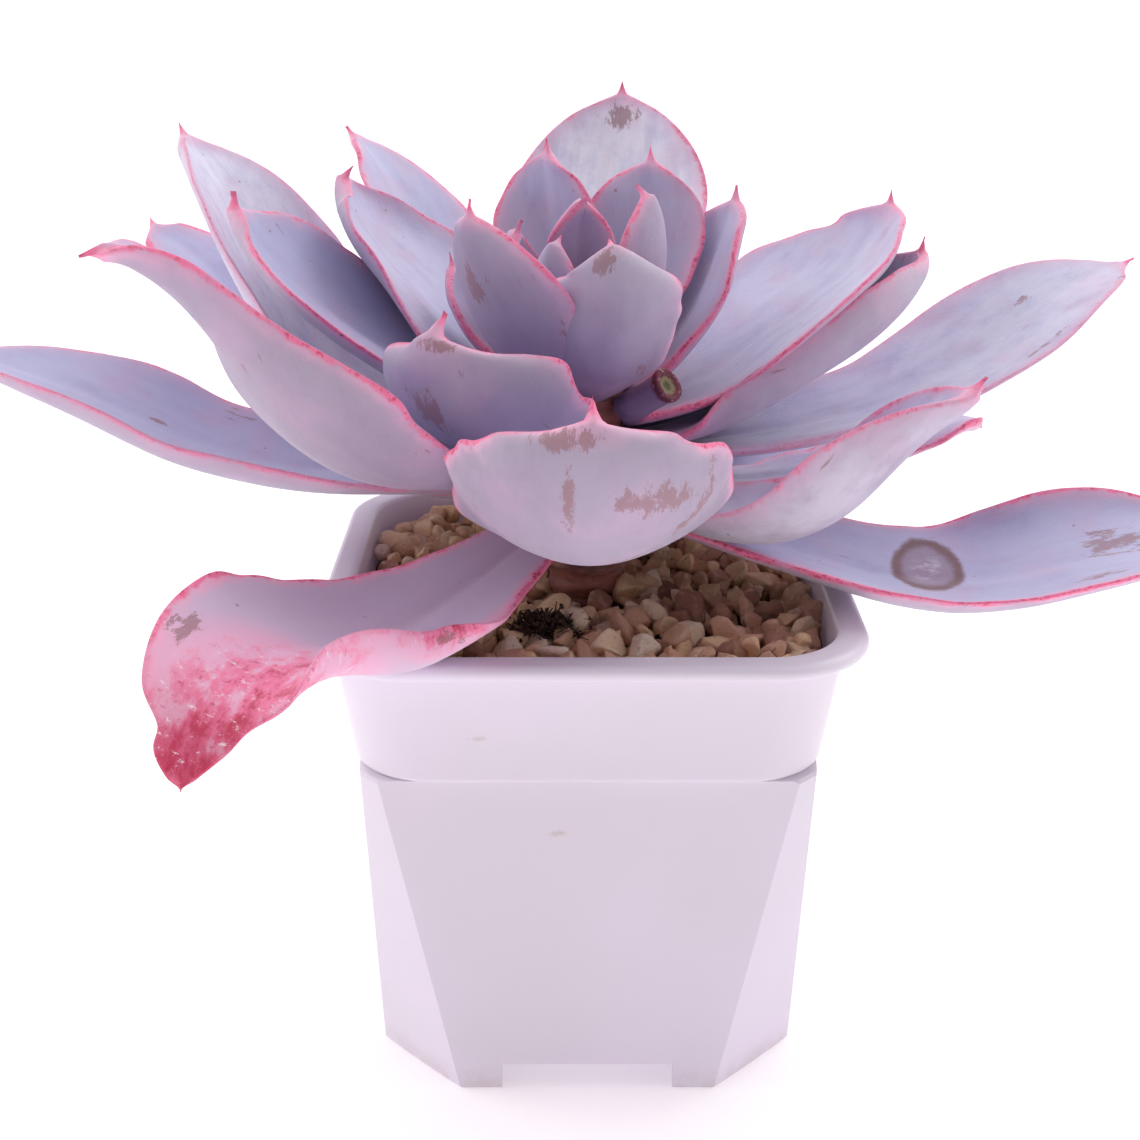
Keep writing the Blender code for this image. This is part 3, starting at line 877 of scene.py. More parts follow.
    def cut_out(self, pot: bpy.types.Object) -> None:
        """Cuts the four notches and the five drain holes.

        Args:
            pot: The pot's object.
        """
        cutters = []
        long, short = 2 * self.rim_half * MM, 2 * self.notch_half * MM
        for width, depth in ((long, short), (short, long)):
            bpy.ops.mesh.primitive_cube_add(size=1)
            bpy.context.active_object.dimensions = (width, depth, 2 * self.notch_height * MM)
            cutters.append(bpy.context.active_object)
        for x, y in ((0, 0), (1, 1), (1, -1), (-1, 1), (-1, -1)):
            bpy.ops.mesh.primitive_cylinder_add(
                vertices=self.drain_sides,
                radius=self.drain_radius * MM,
                depth=4 * self.floor * MM,
                location=(x * self.drain_offset * MM, y * self.drain_offset * MM, self.underside * MM),
            )
            cutters.append(bpy.context.active_object)
        for cutter in cutters:
            boolean = pot.modifiers.new("cut", "BOOLEAN")
            boolean.operation = "DIFFERENCE"
            boolean.solver = "EXACT"
            boolean.object = cutter
        settle(pot)
        for cutter in cutters:
            bpy.data.objects.remove(cutter)

    def build(self) -> None:
        """Builds and dresses the pot."""
        pot = add_tube("square_pot", self.outer_rings() + self.inner_rings(), self.finish.material())
        self.cut_out(pot)
        pot.data.set_sharp_from_angle(angle=math.radians(self.sharp_angle))
        place_piece(pot, Slot.POT, "pot")


# ------------------------------------------------------------------ the grit


@dataclass
class GritBed:
    """Baked-clay grains heaped in the pot, on a dusty bed, with a tuft of peat."""

    half: float
    corner: float
    top: float
    stem_radius: float
    grain_kinds: int = 16
    lower_pitch: float = 3.9
    upper_pitch: float = 4.4
    tuft_place: tuple = (-7.0, -22.0)
    tuft_fibres: int = 520
    tuft_above: float = 3.4
    bed_drop: float = 1.4
    bed_depth: float = 7.0
    wall_clearance: float = 1.9
    stem_clearance: float = 0.6
    lower_radii: tuple = (1.7, 2.8)
    upper_radii: tuple = (1.4, 3.1)
    lower_rise: float = -0.2
    upper_rise: float = 1.9
    tone_mean: float = 0.52
    tone_spread: float = 0.25
    batch: int = 150
    seed: int = 11
    finish: BakedClay = field(default_factory=BakedClay)
    dust: Woody = Woody("grit_dust", (0.24, 0.13, 0.08), (0.07, 0.035, 0.025), 700.0, 0.95)
    peat: Woody = Woody("dark_peat", (0.11, 0.06, 0.045), (0.03, 0.017, 0.014), 900.0, 0.95)

    def inside(self, x: np.ndarray, y: np.ndarray, margin: float) -> np.ndarray:
        """Tells which places are inside the pot's rounded square and clear of the stem.

        Args:
            x: The places' X.
            y: The places' Y.
            margin: How far they stay from the wall.

        Returns:
            True for each place that is inside.
        """
        flat = self.half - margin - self.corner
        outside = np.hypot(np.maximum(np.abs(x) - flat, 0), np.maximum(np.abs(y) - flat, 0))
        return (outside < self.corner) & (np.hypot(x, y) > self.stem_radius + self.stem_clearance)

    def grain_shapes(self, rng: np.random.Generator) -> tuple[list, list]:
        """Makes the different grains, each about 1 mm in radius.

        Args:
            rng: The random numbers.

        Returns:
            The points of each kind, and the faces that they share.
        """
        body = bmesh.new()
        bmesh.ops.create_icosphere(body, subdivisions=3, radius=1.0)
        ball = np.array([v.co[:] for v in body.verts])
        faces = [[v.index for v in f.verts] for f in body.faces]
        body.free()
        kinds = []
        for _ in range(self.grain_kinds):
            points = ball.copy()
            for _ in range(rng.integers(7, 12)):
                normal = rng.normal(size=3)
                normal /= np.linalg.norm(normal)
                over = np.maximum(points @ normal - rng.uniform(0.34, 0.74), 0)
                points -= 0.95 * over[:, None] * normal
            for wave in (4.5, 9.0):
                turn = rng.normal(size=(3, 3)) * wave
                points *= 1 + (0.11 / wave) * np.sin(points @ turn).sum(axis=1)[:, None]
            kinds.append(points * rng.uniform(0.85, 1.6, size=3))
        return kinds, faces

    def scatter(self, rng: np.random.Generator, pitch: float, z: float, sizes: tuple) -> list:
        """Spreads grains over one layer.

        Args:
            rng: The random numbers.
            pitch: The mean distance between grains.
            z: The layer's height.
            sizes: The smallest and largest mean radius.

        Returns:
            Each grain's place and radius.
        """
        steps = np.arange(-self.half, self.half, pitch)
        x, y = (grid.ravel() for grid in np.meshgrid(steps, steps))
        x = x + rng.uniform(-0.45, 0.45, x.size) * pitch
        y = y + rng.uniform(-0.45, 0.45, y.size) * pitch
        radius = sizes[0] + (sizes[1] - sizes[0]) * rng.beta(1.6, 2.4, x.size)
        keep = self.inside(x, y, self.wall_clearance)
        heap = 0.9 * np.sin(x * 0.11 + 0.8) * np.cos(y * 0.09) + rng.normal(0, 0.35, x.size)
        return [(x[i], y[i], z + heap[i], radius[i]) for i in np.nonzero(keep)[0]]

    def build_grains(self, name: str, spots: list, rng: np.random.Generator) -> None:
        """Builds one piece of grains.

        Args:
            name: The piece's name.
            spots: The grains' places and radii.
            rng: The random numbers.
        """
        kinds, shape = self.grain_shapes(rng)
        shape = np.array(shape)
        points, faces, tones = [], [], []
        for number, (x, y, z, radius) in enumerate(spots):
            turn, _ = np.linalg.qr(rng.normal(size=(3, 3)))
            grain = kinds[rng.integers(len(kinds))] @ turn * radius
            points.append(grain + (x, y, z))
            faces.append(shape + number * len(grain))
            tones.append(np.full(len(grain), np.clip(rng.normal(self.tone_mean, self.tone_spread), 0, 1)))
        piece = add_mesh(name, np.vstack(points), np.vstack(faces).tolist(), self.finish.material())
        store(piece, "tone", np.concatenate(tones))
        face_outwards(piece)
        place_piece(piece, Slot.GRIT)

    def build_bed(self, rng: np.random.Generator) -> None:
        """Builds the dusty bed under the grains.

        Args:
            rng: The random numbers.
        """
        rings = []
        turns = circle(96)
        square = 1 / np.power(np.abs(np.cos(turns)) ** 5 + np.abs(np.sin(turns)) ** 5, 1 / 5)
        for share in np.linspace(1.0, 0.16, 30):
            z = self.top - self.bed_drop + rng.normal(0, 0.25, turns.size)
            rings.append(level_ring(self.half * 0.985 * square * share, turns, z))
        base, hole = rings[0].copy(), rings[-1].copy()
        base[:, 2] = hole[:, 2] = self.top - self.bed_depth
        bed = add_tube("grit_dusty_bed", [base, *rings, hole], self.dust.material())
        place_piece(bed, Slot.GRIT, "grit_bed")

    def build_tuft(self, rng: np.random.Generator) -> None:
        """Builds the dark tuft of peat fibres that pokes out of the grains.

        Args:
            rng: The random numbers.
        """
        points, faces = [], []
        middle = np.array([*self.tuft_place, self.top + self.tuft_above])
        angles = circle(5)
        spoke = np.column_stack([np.cos(angles), np.sin(angles), 0.4 * np.cos(angles + 1)])
        for number in range(self.tuft_fibres):
            start = middle + rng.normal(0, 1.5, 3) * (1.6, 1.2, 0.6)
            heading = rng.normal(size=3)
            heading[2] = abs(heading[2]) * 0.9
            heading /= np.linalg.norm(heading)
            bend = rng.normal(0, 0.5, 3)
            radius = rng.uniform(0.15, 0.55)
            reach = rng.uniform(0.5, 1.7)
            for share in np.linspace(0, 1, 5):
                centre = start + heading * reach * share + bend * share * share
                points.append(centre + spoke * radius * (1 - 0.6 * share))
            faces += [[i + 25 * number for i in face] for face in tube_faces(5, 5)]
        tuft = add_mesh("peat_tuft", np.vstack(points), faces, self.peat.material())
        face_outwards(tuft)
        place_piece(tuft, Slot.GRIT)

    def build(self) -> None:
        """Builds the bed, both layers of grains and the tuft."""
        rng = np.random.default_rng(self.seed)
        self.build_bed(rng)
        lower = self.scatter(rng, self.lower_pitch, self.top + self.lower_rise, self.lower_radii)
        upper = self.scatter(rng, self.upper_pitch, self.top + self.upper_rise, self.upper_radii)
        spots = lower + upper
        for start in range(0, len(spots), self.batch):
            name = f"clay_grains_{start // self.batch + 1}"
            self.build_grains(name, spots[start:start + self.batch], rng)
        self.build_tuft(rng)


# ------------------------------------------------------------------ the stem


@dataclass
class Stem:
    """The short woody stem, ringed with old leaf scars."""

    top: float
    foot: float
    radius: float = 7.0
    crown_radius: float = 6.2
    crown_from: float = 94.0
    crown_step: float = 4.0
    taper_from: float = 119.0
    scar_pitch: float = 3.1
    scar_depth: float = 0.22
    ring_steps: int = 140
    seed: int = 5
    finish: Woody = Woody("stem_bark", (0.36, 0.13, 0.10), (0.10, 0.03, 0.03), 300.0, 0.55, 0.0009)

    def radius_at(self, z: np.ndarray) -> np.ndarray:
        """The stem's radius at each height.

        Args:
            z: The heights.

        Returns:
            The radii.
        """
        z = np.asarray(z, dtype=float)
        step = np.clip((z - self.crown_from) / self.crown_step, 0, 1)
        radius = self.radius + (self.crown_radius - self.radius) * step
        share = np.clip((z - self.taper_from) / (self.top - self.taper_from), 0, 1)
        return radius * np.maximum(1 - share * share, 0.08)

    def build(self) -> None:
        """Builds and dresses the stem."""
        rng = np.random.default_rng(self.seed)
        turns = circle(64)
        rings = []
        for z in np.linspace(self.foot, self.top, self.ring_steps):
            phase = z / self.scar_pitch * 2 * np.pi + 1.4 * np.sin(turns * 2 + z * 0.25)
            scars = self.scar_depth * np.sin(phase) + rng.normal(0, 0.02, turns.size)
            radius = np.maximum(self.radius_at(z) + scars - 0.25, 0.3)
            rings.append(level_ring(radius, turns, z))
        stem = add_tube("ringed_stem", rings, self.finish.material())
        place_piece(stem, Slot.BARK, "stem")


def direction(heading: np.ndarray, slope: np.ndarray) -> np.ndarray:
    """Unit vectors at headings round the stem and slopes above the level."""
    level = np.cos(slope)
    return np.stack([level * np.sin(heading), -level * np.cos(heading), np.sin(slope)], axis=-1)


@dataclass
class FlowerStalk:
    """The stub of a cut flower stalk, with a dark rind round its drying pith."""

    stem: Stem
    seat: float
    heading: float = 52.0
    rise: float = 33.0
    length: float = 10.5
    radius: float = 2.7
    gap: float = 0.3
    finish: CutStalk = field(default_factory=CutStalk)

    def build(self) -> None:
        """Builds and dresses the stub."""
        heading = math.radians(self.heading)
        rise = math.radians(self.rise)
        forward = direction(heading, rise)
        reach = self.gap + float(self.stem.radius_at(self.seat)) + self.radius * math.sin(rise)
        foot = np.array([reach * math.sin(heading), -reach * math.cos(heading), self.seat])
        side = np.cross(forward, (0, 0, 1))
        side /= np.linalg.norm(side)
        up = np.cross(side, forward)
        profile = [(0.0, 1.0), (0.3, 0.97), (0.6, 0.95), (0.82, 0.98), (0.92, 1.08), (0.98, 1.1), (1.0, 1.02)]
        profile += [(1.0, 0.86), (0.985, 0.72), (0.955, 0.55), (0.95, 0.4), (0.94, 0.2), (0.93, 0.05)]
        turns = circle(48)
        rings, spreads, flanks = [], [], []
        for number, (share, flare) in enumerate(profile):
            wobble = 1 + 0.025 * np.sin(3 * turns + 0.7 * number) + 0.015 * np.sin(7 * turns)
            spoke = np.outer(np.cos(turns) * wobble, side) + np.outer(np.sin(turns) * wobble, up)
            rings.append(foot + forward * self.length * share + spoke * self.radius * flare)
            spreads.append(np.full(turns.size, min(flare, 1.0)))
            flanks.append(np.full(turns.size, 1.0 if share < 0.9 else 0.0))
        stub = add_tube("cut_flower_stalk", rings, self.finish.material())
        store(stub, "spread", np.concatenate(spreads))
        store(stub, "flank", np.concatenate(flanks))
        place_piece(stub, Slot.STALK, "flower_stalk_stub")


# ---------------------------------------------------------------- the rosette


@dataclass(frozen=True)
class Habit:
    """How a kind of leaf grows: its slopes, breadth, cupping and bluntness."""

    rise: tuple
    breadth: float
    cup: tuple
    blunt: float


DROOPING = Habit((-20, -5, 20, -55), 0.34, (25, 35), 0.3)
SPREADING = Habit((-10, -15, 15, -25), 0.38, (25, 20), 0.3)
LEVEL = Habit((-5, 5, 15, 10), 0.42, (15, 25), 0.4)
ARCHING = Habit((0, 5, 25, 5), 0.3, (20, 30), 0.3)
BOWL = Habit((-5, 10, 40, 100), 0.68, (15, 65), 0.9)
FOLDED = Habit((-30, 5, 50, 30), 0.37, (60, 80), 0.2)
RISING = Habit((0, 15, 60, 20), 0.48, (25, 40), 0.3)
CUPPED = Habit((5, 30, 35, 65), 0.62, (15, 35), 0.5)
STANDING = Habit((30, 45, 65, 60), 0.6, (25, 35), 0.4)
HEART = Habit((60, 75, 95, 105), 0.55, (35, 45), 0.2)


@dataclass(frozen=True)
class Curl:
    """A margin that turns up or down along part of a leaf."""

    side: Side
    start: float
    end: float
    angle: float


@dataclass(frozen=True)
class Notch:
    """A nick in a margin."""

    side: Side
    place: float
    depth: float
    length: float = 0.02


class Mark(Enum):
    """Kinds of damage, named as the attribute that carries each."""

    SCAR = "scar"
    SCALD = "scald"
    DROP = "drop"


@dataclass(frozen=True)
class Blemish:
    """Damage on a leaf: its place as shares of the length and half width, and its size."""

    mark: Mark
    place: float
    across: float
    length: float
    width: float
    slant: float = 0.0


@dataclass(frozen=True)
class Leaf:
    """One leaf blade, as the frame has it, with its own curls, nicks and marks."""

    name: str
    habit: Habit
    heading: float
    length: float
    swing: float = 0.0
    tilt: float = 0.0
    twist: float = 0.0
    fullness: float = 1.0
    curls: tuple = ()
    notches: tuple = ()
    blemishes: tuple = ()
    flush: float = 0.85
    # Pale powder on the leaf, laid on more thickly where the leaf is lit from behind, as painted backlight.
    bloom: float = 0.25
    spine: float = 1.3
    ruffle: float = 0.35
    tail: float = 0.0
    hook: float = 25.0


# Oldest first: a younger leaf sits above an older one wherever the two meet.
# Each leaf's powder value is partly painted backlight: the leaves that catch light from behind, such as
# back_tall and left_tall, get more pale powder.
LEAVES = (
    Leaf(
        "front_left_drooping", DROOPING, -38, 102, swing=20, twist=20,
        flush=1.35, bloom=0.2, spine=0.3, ruffle=0.15, hook=0,
        curls=(Curl(Side.LEFT, 0.30, 0.85, 75), Curl(Side.RIGHT, 0.6, 1.0, 25)),
        notches=(Notch(Side.RIGHT, 0.93, 2.2, 0.02), Notch(Side.LEFT, 0.90, 1.5, 0.03)),
        blemishes=(
            Blemish(Mark.SCALD, 0.86, -0.35, 40, 24, 10),
            Blemish(Mark.SCALD, 1.0, 0.0, 26, 34),
            Blemish(Mark.SCALD, 0.48, -0.95, 30, 6),
            Blemish(Mark.SCAR, 0.80, 0.72, 9, 5, 20),
            Blemish(Mark.SCAR, 0.45, -0.9, 12, 3),
        ),
    ),
    Leaf(
        "right_low", SPREADING, 75, 112, swing=25, tilt=1, ruffle=0.1, flush=1.0,
        curls=(Curl(Side.LEFT, 0.45, 0.95, 35), Curl(Side.RIGHT, 0.3, 0.9, 12)),
        blemishes=(
            Blemish(Mark.DROP, 0.47, -0.2, 1.05, 1.9),
            Blemish(Mark.SCAR, 0.76, -0.15, 16, 14, 30),
            Blemish(Mark.SCAR, 0.70, 0.60, 12, 4, 10),
        ),
    ),
    Leaf("back_left_lowest", LEVEL, -130, 80, tilt=-8),
    Leaf("back_right_lowest", LEVEL, 135, 85, tilt=-8),
    Leaf("back_left_low", LEVEL, -160, 80, tilt=-2),
    Leaf("back_right_low", LEVEL, 155, 90, tilt=-2),
    Leaf("right_thin", ARCHING, 105, 74, swing=10, tilt=-8, fullness=0.8, flush=1.0, bloom=0.6, hook=-30),
    Leaf(
        "left_long", ARCHING, -95, 115, swing=-15, tilt=-3, bloom=0.15, flush=0.6, ruffle=0.1,
        curls=(Curl(Side.LEFT, 0.2, 0.9, 25),),
        blemishes=(Blemish(Mark.SCAR, 0.62, 0.1, 14, 2, 8), Blemish(Mark.SCAR, 0.93, -0.2, 9, 3)),
    ),
    Leaf("back_low", LEVEL, 180, 86, tilt=5),
    Leaf(
        "front_bowl", BOWL, 0, 80, tilt=-3, fullness=0.95, flush=1.1, bloom=0.12, spine=1.7, ruffle=0.9,
        notches=(
            Notch(Side.LEFT, 0.95, 1.6, 0.02), Notch(Side.RIGHT, 0.94, 1.6, 0.015),
            Notch(Side.LEFT, 0.84, 3.2, 0.07), Notch(Side.RIGHT, 0.80, 1.4, 0.05),
        ),
        blemishes=(
            Blemish(Mark.SCAR, 0.79, -0.40, 9, 14, -30),
            Blemish(Mark.SCAR, 0.68, -0.62, 22, 4, -35),
            Blemish(Mark.SCAR, 0.55, -0.25, 16, 2.5, -60),
            Blemish(Mark.SCAR, 0.82, 0.15, 14, 2.5, 5),
            Blemish(Mark.SCAR, 0.93, 0.40, 4, 12),
        ),
    ),
    Leaf(
        "right_folded", FOLDED, 55, 74, swing=15, bloom=0.6, ruffle=0.1, flush=0.6,
        curls=(Curl(Side.LEFT, 0.5, 0.95, 15), Curl(Side.RIGHT, 0.85, 1.0, -60)),
    ),
    Leaf("left_slim", ARCHING, -114, 98, swing=-15, tilt=8, twist=20, fullness=0.8),
    Leaf(
        "right_long", ARCHING, 100, 106, swing=25, tilt=3, twist=-10, flush=0.35, bloom=0.6, ruffle=0.1,
        blemishes=(Blemish(Mark.SCAR, 0.78, -0.3, 5, 3), Blemish(Mark.SCAR, 0.70, 0.8, 16, 2)),
    ),
    Leaf(
        "left_front_tall", RISING, -50, 97, swing=-12, twist=-10, fullness=1.05,
        flush=0.9, bloom=0.12, tail=0.55, hook=-35,
        curls=(Curl(Side.RIGHT, 0.35, 0.85, 35), Curl(Side.LEFT, 0.80, 1.0, 40)),
        notches=(Notch(Side.RIGHT, 0.60, -3.0, 0.07), Notch(Side.RIGHT, 0.73, 3.0, 0.03)),
        blemishes=(Blemish(Mark.SCAR, 0.6, 0.5, 10, 3, 15),),
    ),
    Leaf(
        "left_tall", RISING, -104, 97, swing=-35, tilt=2, twist=-20, fullness=0.9,
        flush=0.4, bloom=0.8, ruffle=0.1, hook=40,
        curls=(Curl(Side.LEFT, 0.80, 1.0, 50),),
    ),
    Leaf(
        "right_wide_lower", CUPPED, 106, 66, swing=-2, tilt=-4, flush=0.9, bloom=0.4,
        curls=(Curl(Side.RIGHT, 0.10, 1.0, 85),),
    ),
    Leaf(
        "front_left_bowl", BOWL, -28, 56, swing=-10, tilt=8, twist=-10, fullness=1.05,
        flush=1.0, bloom=0.1, spine=1.9, ruffle=0.9,
        notches=(Notch(Side.RIGHT, 0.88, 2.4, 0.03), Notch(Side.LEFT, 0.93, 1.4, 0.02)),
        blemishes=(Blemish(Mark.SCAR, 0.91, 0.0, 3, 8), Blemish(Mark.SCAR, 0.72, 0.1, 12, 6, 20)),
    ),
    Leaf("left_wide", CUPPED, -90, 68, swing=5, tilt=4, twist=10, fullness=0.9, bloom=0.1),
    Leaf("back_left_long", ARCHING, -150, 90, swing=10, tilt=15, twist=-20),
    Leaf(
        "right_wide", CUPPED, 114, 67, swing=5, tilt=-2, twist=10, fullness=1.1, bloom=0.5, ruffle=0.1,
        notches=(Notch(Side.LEFT, 0.86, 2.0, 0.03),),
    ),
    Leaf(
        "back_left", CUPPED, -125, 62, swing=10, tilt=5, twist=-20, fullness=1.1,
        flush=0.7, bloom=0.45, hook=60,
        curls=(Curl(Side.RIGHT, 0.5, 1.0, 30),),
    ),
    Leaf(
        "back_tall", CUPPED, 176, 80, swing=-8, tilt=4, fullness=0.8, flush=0.7, bloom=1.0, ruffle=0.0,
        blemishes=(Blemish(Mark.SCAR, 0.91, 0.0, 8, 10),),
    ),
    Leaf("right_inner", STANDING, 120, 42, swing=15, twist=20),
    Leaf("left_inner_back", STANDING, -115, 30, swing=-10, tilt=-8),
    Leaf(
        "left_inner", STANDING, -40, 41, swing=-10, tilt=5, twist=10, fullness=1.2, bloom=0.1,
        blemishes=(Blemish(Mark.SCAR, 0.66, 0.1, 9, 9),),
    ),
    Leaf(
        "front_right_inner", BOWL, 10, 38, swing=-15, tilt=30, twist=10, ruffle=0.7, flush=1.0,
        notches=(Notch(Side.RIGHT, 0.80, 1.2, 0.04),),
        blemishes=(Blemish(Mark.SCAR, 0.86, 0.15, 6, 6), Blemish(Mark.SCAR, 0.30, -0.5, 8, 3)),
    ),
    Leaf("back_inner_right", STANDING, 152, 40, swing=10, tilt=8, twist=-20),
    Leaf("back_inner_left", STANDING, -160, 40, swing=-20, tilt=8, twist=40, fullness=0.85),
    Leaf("heart_left", HEART, -110, 24, tilt=-10),
    Leaf("heart_front", HEART, -40, 22, fullness=0.8),
    Leaf("heart_right", HEART, 60, 29, swing=15, tilt=-5),
    Leaf("heart_back", HEART, 190, 24, swing=15),
)


@dataclass
class Blade:
    """Builds one leaf's fine mesh: flesh, rounded margin, keel, groove and pointed tip."""

    leaf: Leaf
    seat: float
    # The leaf's share of painted shade, rising towards the centre of the rosette.
    youth: float
    seed: int
    stem: Stem
    base_thickness: float = 3.4
    tip_thickness: float = 2.2
    neck: float = 0.34
    widest: float = 0.64
    gap: float = 0.3
    spine_length: float = 3.6
    rows_per_mm: float = 1.25
    fewest_rows: int = 44
    columns_per_mm: float = 0.55
    fewest_columns: int = 11
    quick_share: float = 0.6
    first_seed: int = 100

    def __post_init__(self) -> None:
        """Chooses the mesh's fineness for the leaf's size and seeds its waves."""
        fineness = 1.0
        length, width = self.leaf.length, self.leaf.length * self.leaf.habit.breadth
        self.rows = int(max(length * self.rows_per_mm, self.fewest_rows) * fineness)
        self.columns = 2 * int(max(width * self.columns_per_mm, self.fewest_columns) * fineness) + 1
        self.rng = np.random.default_rng(self.first_seed + self.seed)
        self.share = 1 - (1 - np.linspace(0, 1, self.rows)) ** 1.3
        self.across = np.sin(np.linspace(-1, 1, self.columns) * math.pi / 2)

    def wave(self, share: np.ndarray, longest: float, shortest: float) -> np.ndarray:
        """A gentle irregular wave along the leaf.

        Args:
            share: Shares of the length.
            longest: The longest wavelength.
            shortest: The shortest wavelength.

        Returns:
            The wave, from about -1 to 1.
        """
        total = np.zeros_like(share)
        for _ in range(4):
            wavelength = self.rng.uniform(shortest, longest)
            total += np.sin(share * self.leaf.length / wavelength * 2 * math.pi + self.rng.uniform(0, 6.3))
        return total / 3

    def half_width(self, side: Side) -> np.ndarray:
        """Half the blade's width on one side at each row.

        Args:
            side: The side.

        Returns:
            The half widths.
        """
        full = self.leaf.length * self.leaf.habit.breadth * self.leaf.fullness / 2
        blunt = self.leaf.habit.blunt
        reach = self.spine_length * min(self.leaf.spine / 1.5, self.leaf.length / 40)
        blade_end = 1 - 0.8 * reach / self.leaf.length
        share = np.minimum(self.share / blade_end, 1.0)
        swell = np.sin(math.pi / 2 * np.minimum(share / self.widest, 1.0)) ** 1.25
        beyond = np.clip((share - self.widest) / (1 - self.widest), 0, 1)
        shape = np.maximum(1 - beyond ** (1.65 + 0.9 * blunt), 0.0) ** (0.92 - 0.4 * blunt)
        half = full * np.where(share < self.widest, self.neck + (1 - self.neck) * swell, shape)
        half = half * (1 - self.leaf.tail * ease((share - 0.58) / 0.22))
        half = half * (1 + 0.04 * self.wave(self.share, 60, 25) * ease(share / 0.25))
        fine = 0.35 * self.leaf.ruffle * self.wave(self.share, 12, 5)
        half = half + fine * ease(share / 0.3) * ease((1 - share) / 0.08)
        for notch in self.leaf.notches:
            if notch.side is side:
                half = half - notch.depth * np.exp(-(((self.share - notch.place) / notch.length) ** 2))
        thick = self.leaf.spine * min(self.leaf.length / 40, 1.0)
        back = np.clip((1 - self.share) * self.leaf.length / reach, 0, 2.2)
        spine = thick * (0.55 * back + 0.45 * back**2) * ease((3.2 - back) / 1.4)
        return np.maximum((np.maximum(half, 0) ** 3 + spine**3) ** (1 / 3), 0.05)

    def line(self) -> tuple[np.ndarray, np.ndarray, np.ndarray]:
        """The midrib.

        Returns:
            Its places, and the blade's rightward and upward directions there.
        """
        leaf = self.leaf
        slope = along(tuple(math.radians(s + leaf.tilt) for s in leaf.habit.rise), self.share)
        turn = math.radians(leaf.heading) + math.radians(leaf.swing) * self.share**1.5
        hooked = ease((self.share - 1) * leaf.length / 9 + 1)
        slope = slope + math.radians(leaf.hook) * hooked
        turn = turn + math.radians(self.rng.uniform(-25, 25)) * hooked
        forward = direction(turn, slope)
        upward = direction(turn, slope + math.pi / 2)
        sideways = np.cross(forward, upward)
        roll = (math.radians(leaf.twist) * self.share)[:, None]
        right = sideways * np.cos(roll) + upward * np.sin(roll)
        up = upward * np.cos(roll) - sideways * np.sin(roll)
        inward = self.base_thickness / 2 * math.sin(slope[0])
        upper = self.base_thickness / 2 * math.cos(slope[0])
        high = float(self.stem.radius_at(self.seat + upper)) + inward
        low = float(self.stem.radius_at(self.seat - upper)) - inward
        reach = self.gap + max(high, low)
        heading = math.radians(leaf.heading)
        start = np.array([reach * math.sin(heading), -reach * math.cos(heading), self.seat])
        steps = (forward[1:] + forward[:-1]) / 2
        steps = steps * (np.diff(self.share) * leaf.length)[:, None]
        places = start + np.vstack([np.zeros(3), np.cumsum(steps, axis=0)])
        return places, right, up

    def bend(self) -> np.ndarray:
        """How far the section has turned up at each row and column.

        Returns:
            The angles in radians, negative on the left.
        """
        near, far = (math.radians(value) for value in self.leaf.habit.cup)
        cup = near + (far - near) * ease(self.share / 0.7)
        cup = cup * (1 + 0.12 * self.wave(self.share, 60, 25))
        angle = cup[:, None] * self.across[None, :]
        for curl in self.leaf.curls:
            window = ease((self.share - curl.start) / 0.18) * ease((curl.end - self.share) / 0.15 + 0.4)
            outer = ease((self.across * curl.side.value - 0.45) / 0.55)
            angle = angle + math.radians(curl.angle) * curl.side.value * window[:, None] * outer[None, :]
        return angle

    def build(self, finish: bpy.types.Material) -> bpy.types.Object:
        """Builds the blade.

        Args:
            finish: The leaf material.

        Returns:
            The blade's object.
        """
        places, right, up = self.line()
        left_half, right_half = self.half_width(Side.LEFT), self.half_width(Side.RIGHT)
        half = np.where(self.across[None, :] < 0, left_half[:, None], right_half[:, None])
        angle = self.bend()
        middle = self.columns // 2
        gaps = np.diff(self.across)[None, :]
        flat = half * np.cos(angle)
        lift = half * np.sin(angle)
        sections = []
        for rate in (flat, lift):
            steps = np.hstack([np.zeros((self.rows, 1)), (rate[:, 1:] + rate[:, :-1]) / 2 * gaps])
            total = np.cumsum(steps, axis=1)
            sections.append(total - total[:, middle:middle + 1])
        x, y = sections
        spread = np.abs(self.across)[None, :]
        for side in Side:
            near = np.clip(self.across[None, :] * side.value, 0, 1)
            ruffle = self.leaf.ruffle * self.wave(self.share, 30, 11) + 0.5 * self.wave(self.share, 70, 35)
            y = y + 1.2 * ruffle[:, None] * near**3 * ease(self.share / 0.3)[:, None]
        y = y + 0.3 * self.wave(self.share, 60, 30)[:, None] * ease(self.share / 0.3)[:, None]
        sheet = places[:, None] + right[:, None] * x[..., None] + up[:, None] * y[..., None]
        normal = up[:, None] * np.cos(angle)[..., None] - right[:, None] * np.sin(angle)[..., None]
        thick = self.base_thickness + (self.tip_thickness - self.base_thickness) * self.share
        narrow = np.minimum(left_half, right_half)
        thick = np.minimum(thick, 1.5 * narrow)
        depth = thick[:, None] / 2 * np.maximum(1 - spread**2.4, 0.0) ** 0.5
        fade = ease((1 - self.share) / 0.25)[:, None]
        groove = 0.30 * np.exp(-((self.across[None, :] / 0.14) ** 2)) * fade
        keel = 0.35 * np.exp(-((self.across[None, :] / 0.3) ** 2))
        upper = sheet + normal * (depth * (1 - groove))[..., None]
        under = sheet - normal * (depth * (1 + keel))[..., None]
        rings = np.concatenate([upper, under[:, -2:0:-1]], axis=1)
        piece = add_tube("blade_" + self.leaf.name, rings, finish)
        self.store_skin(piece, half)
        return piece

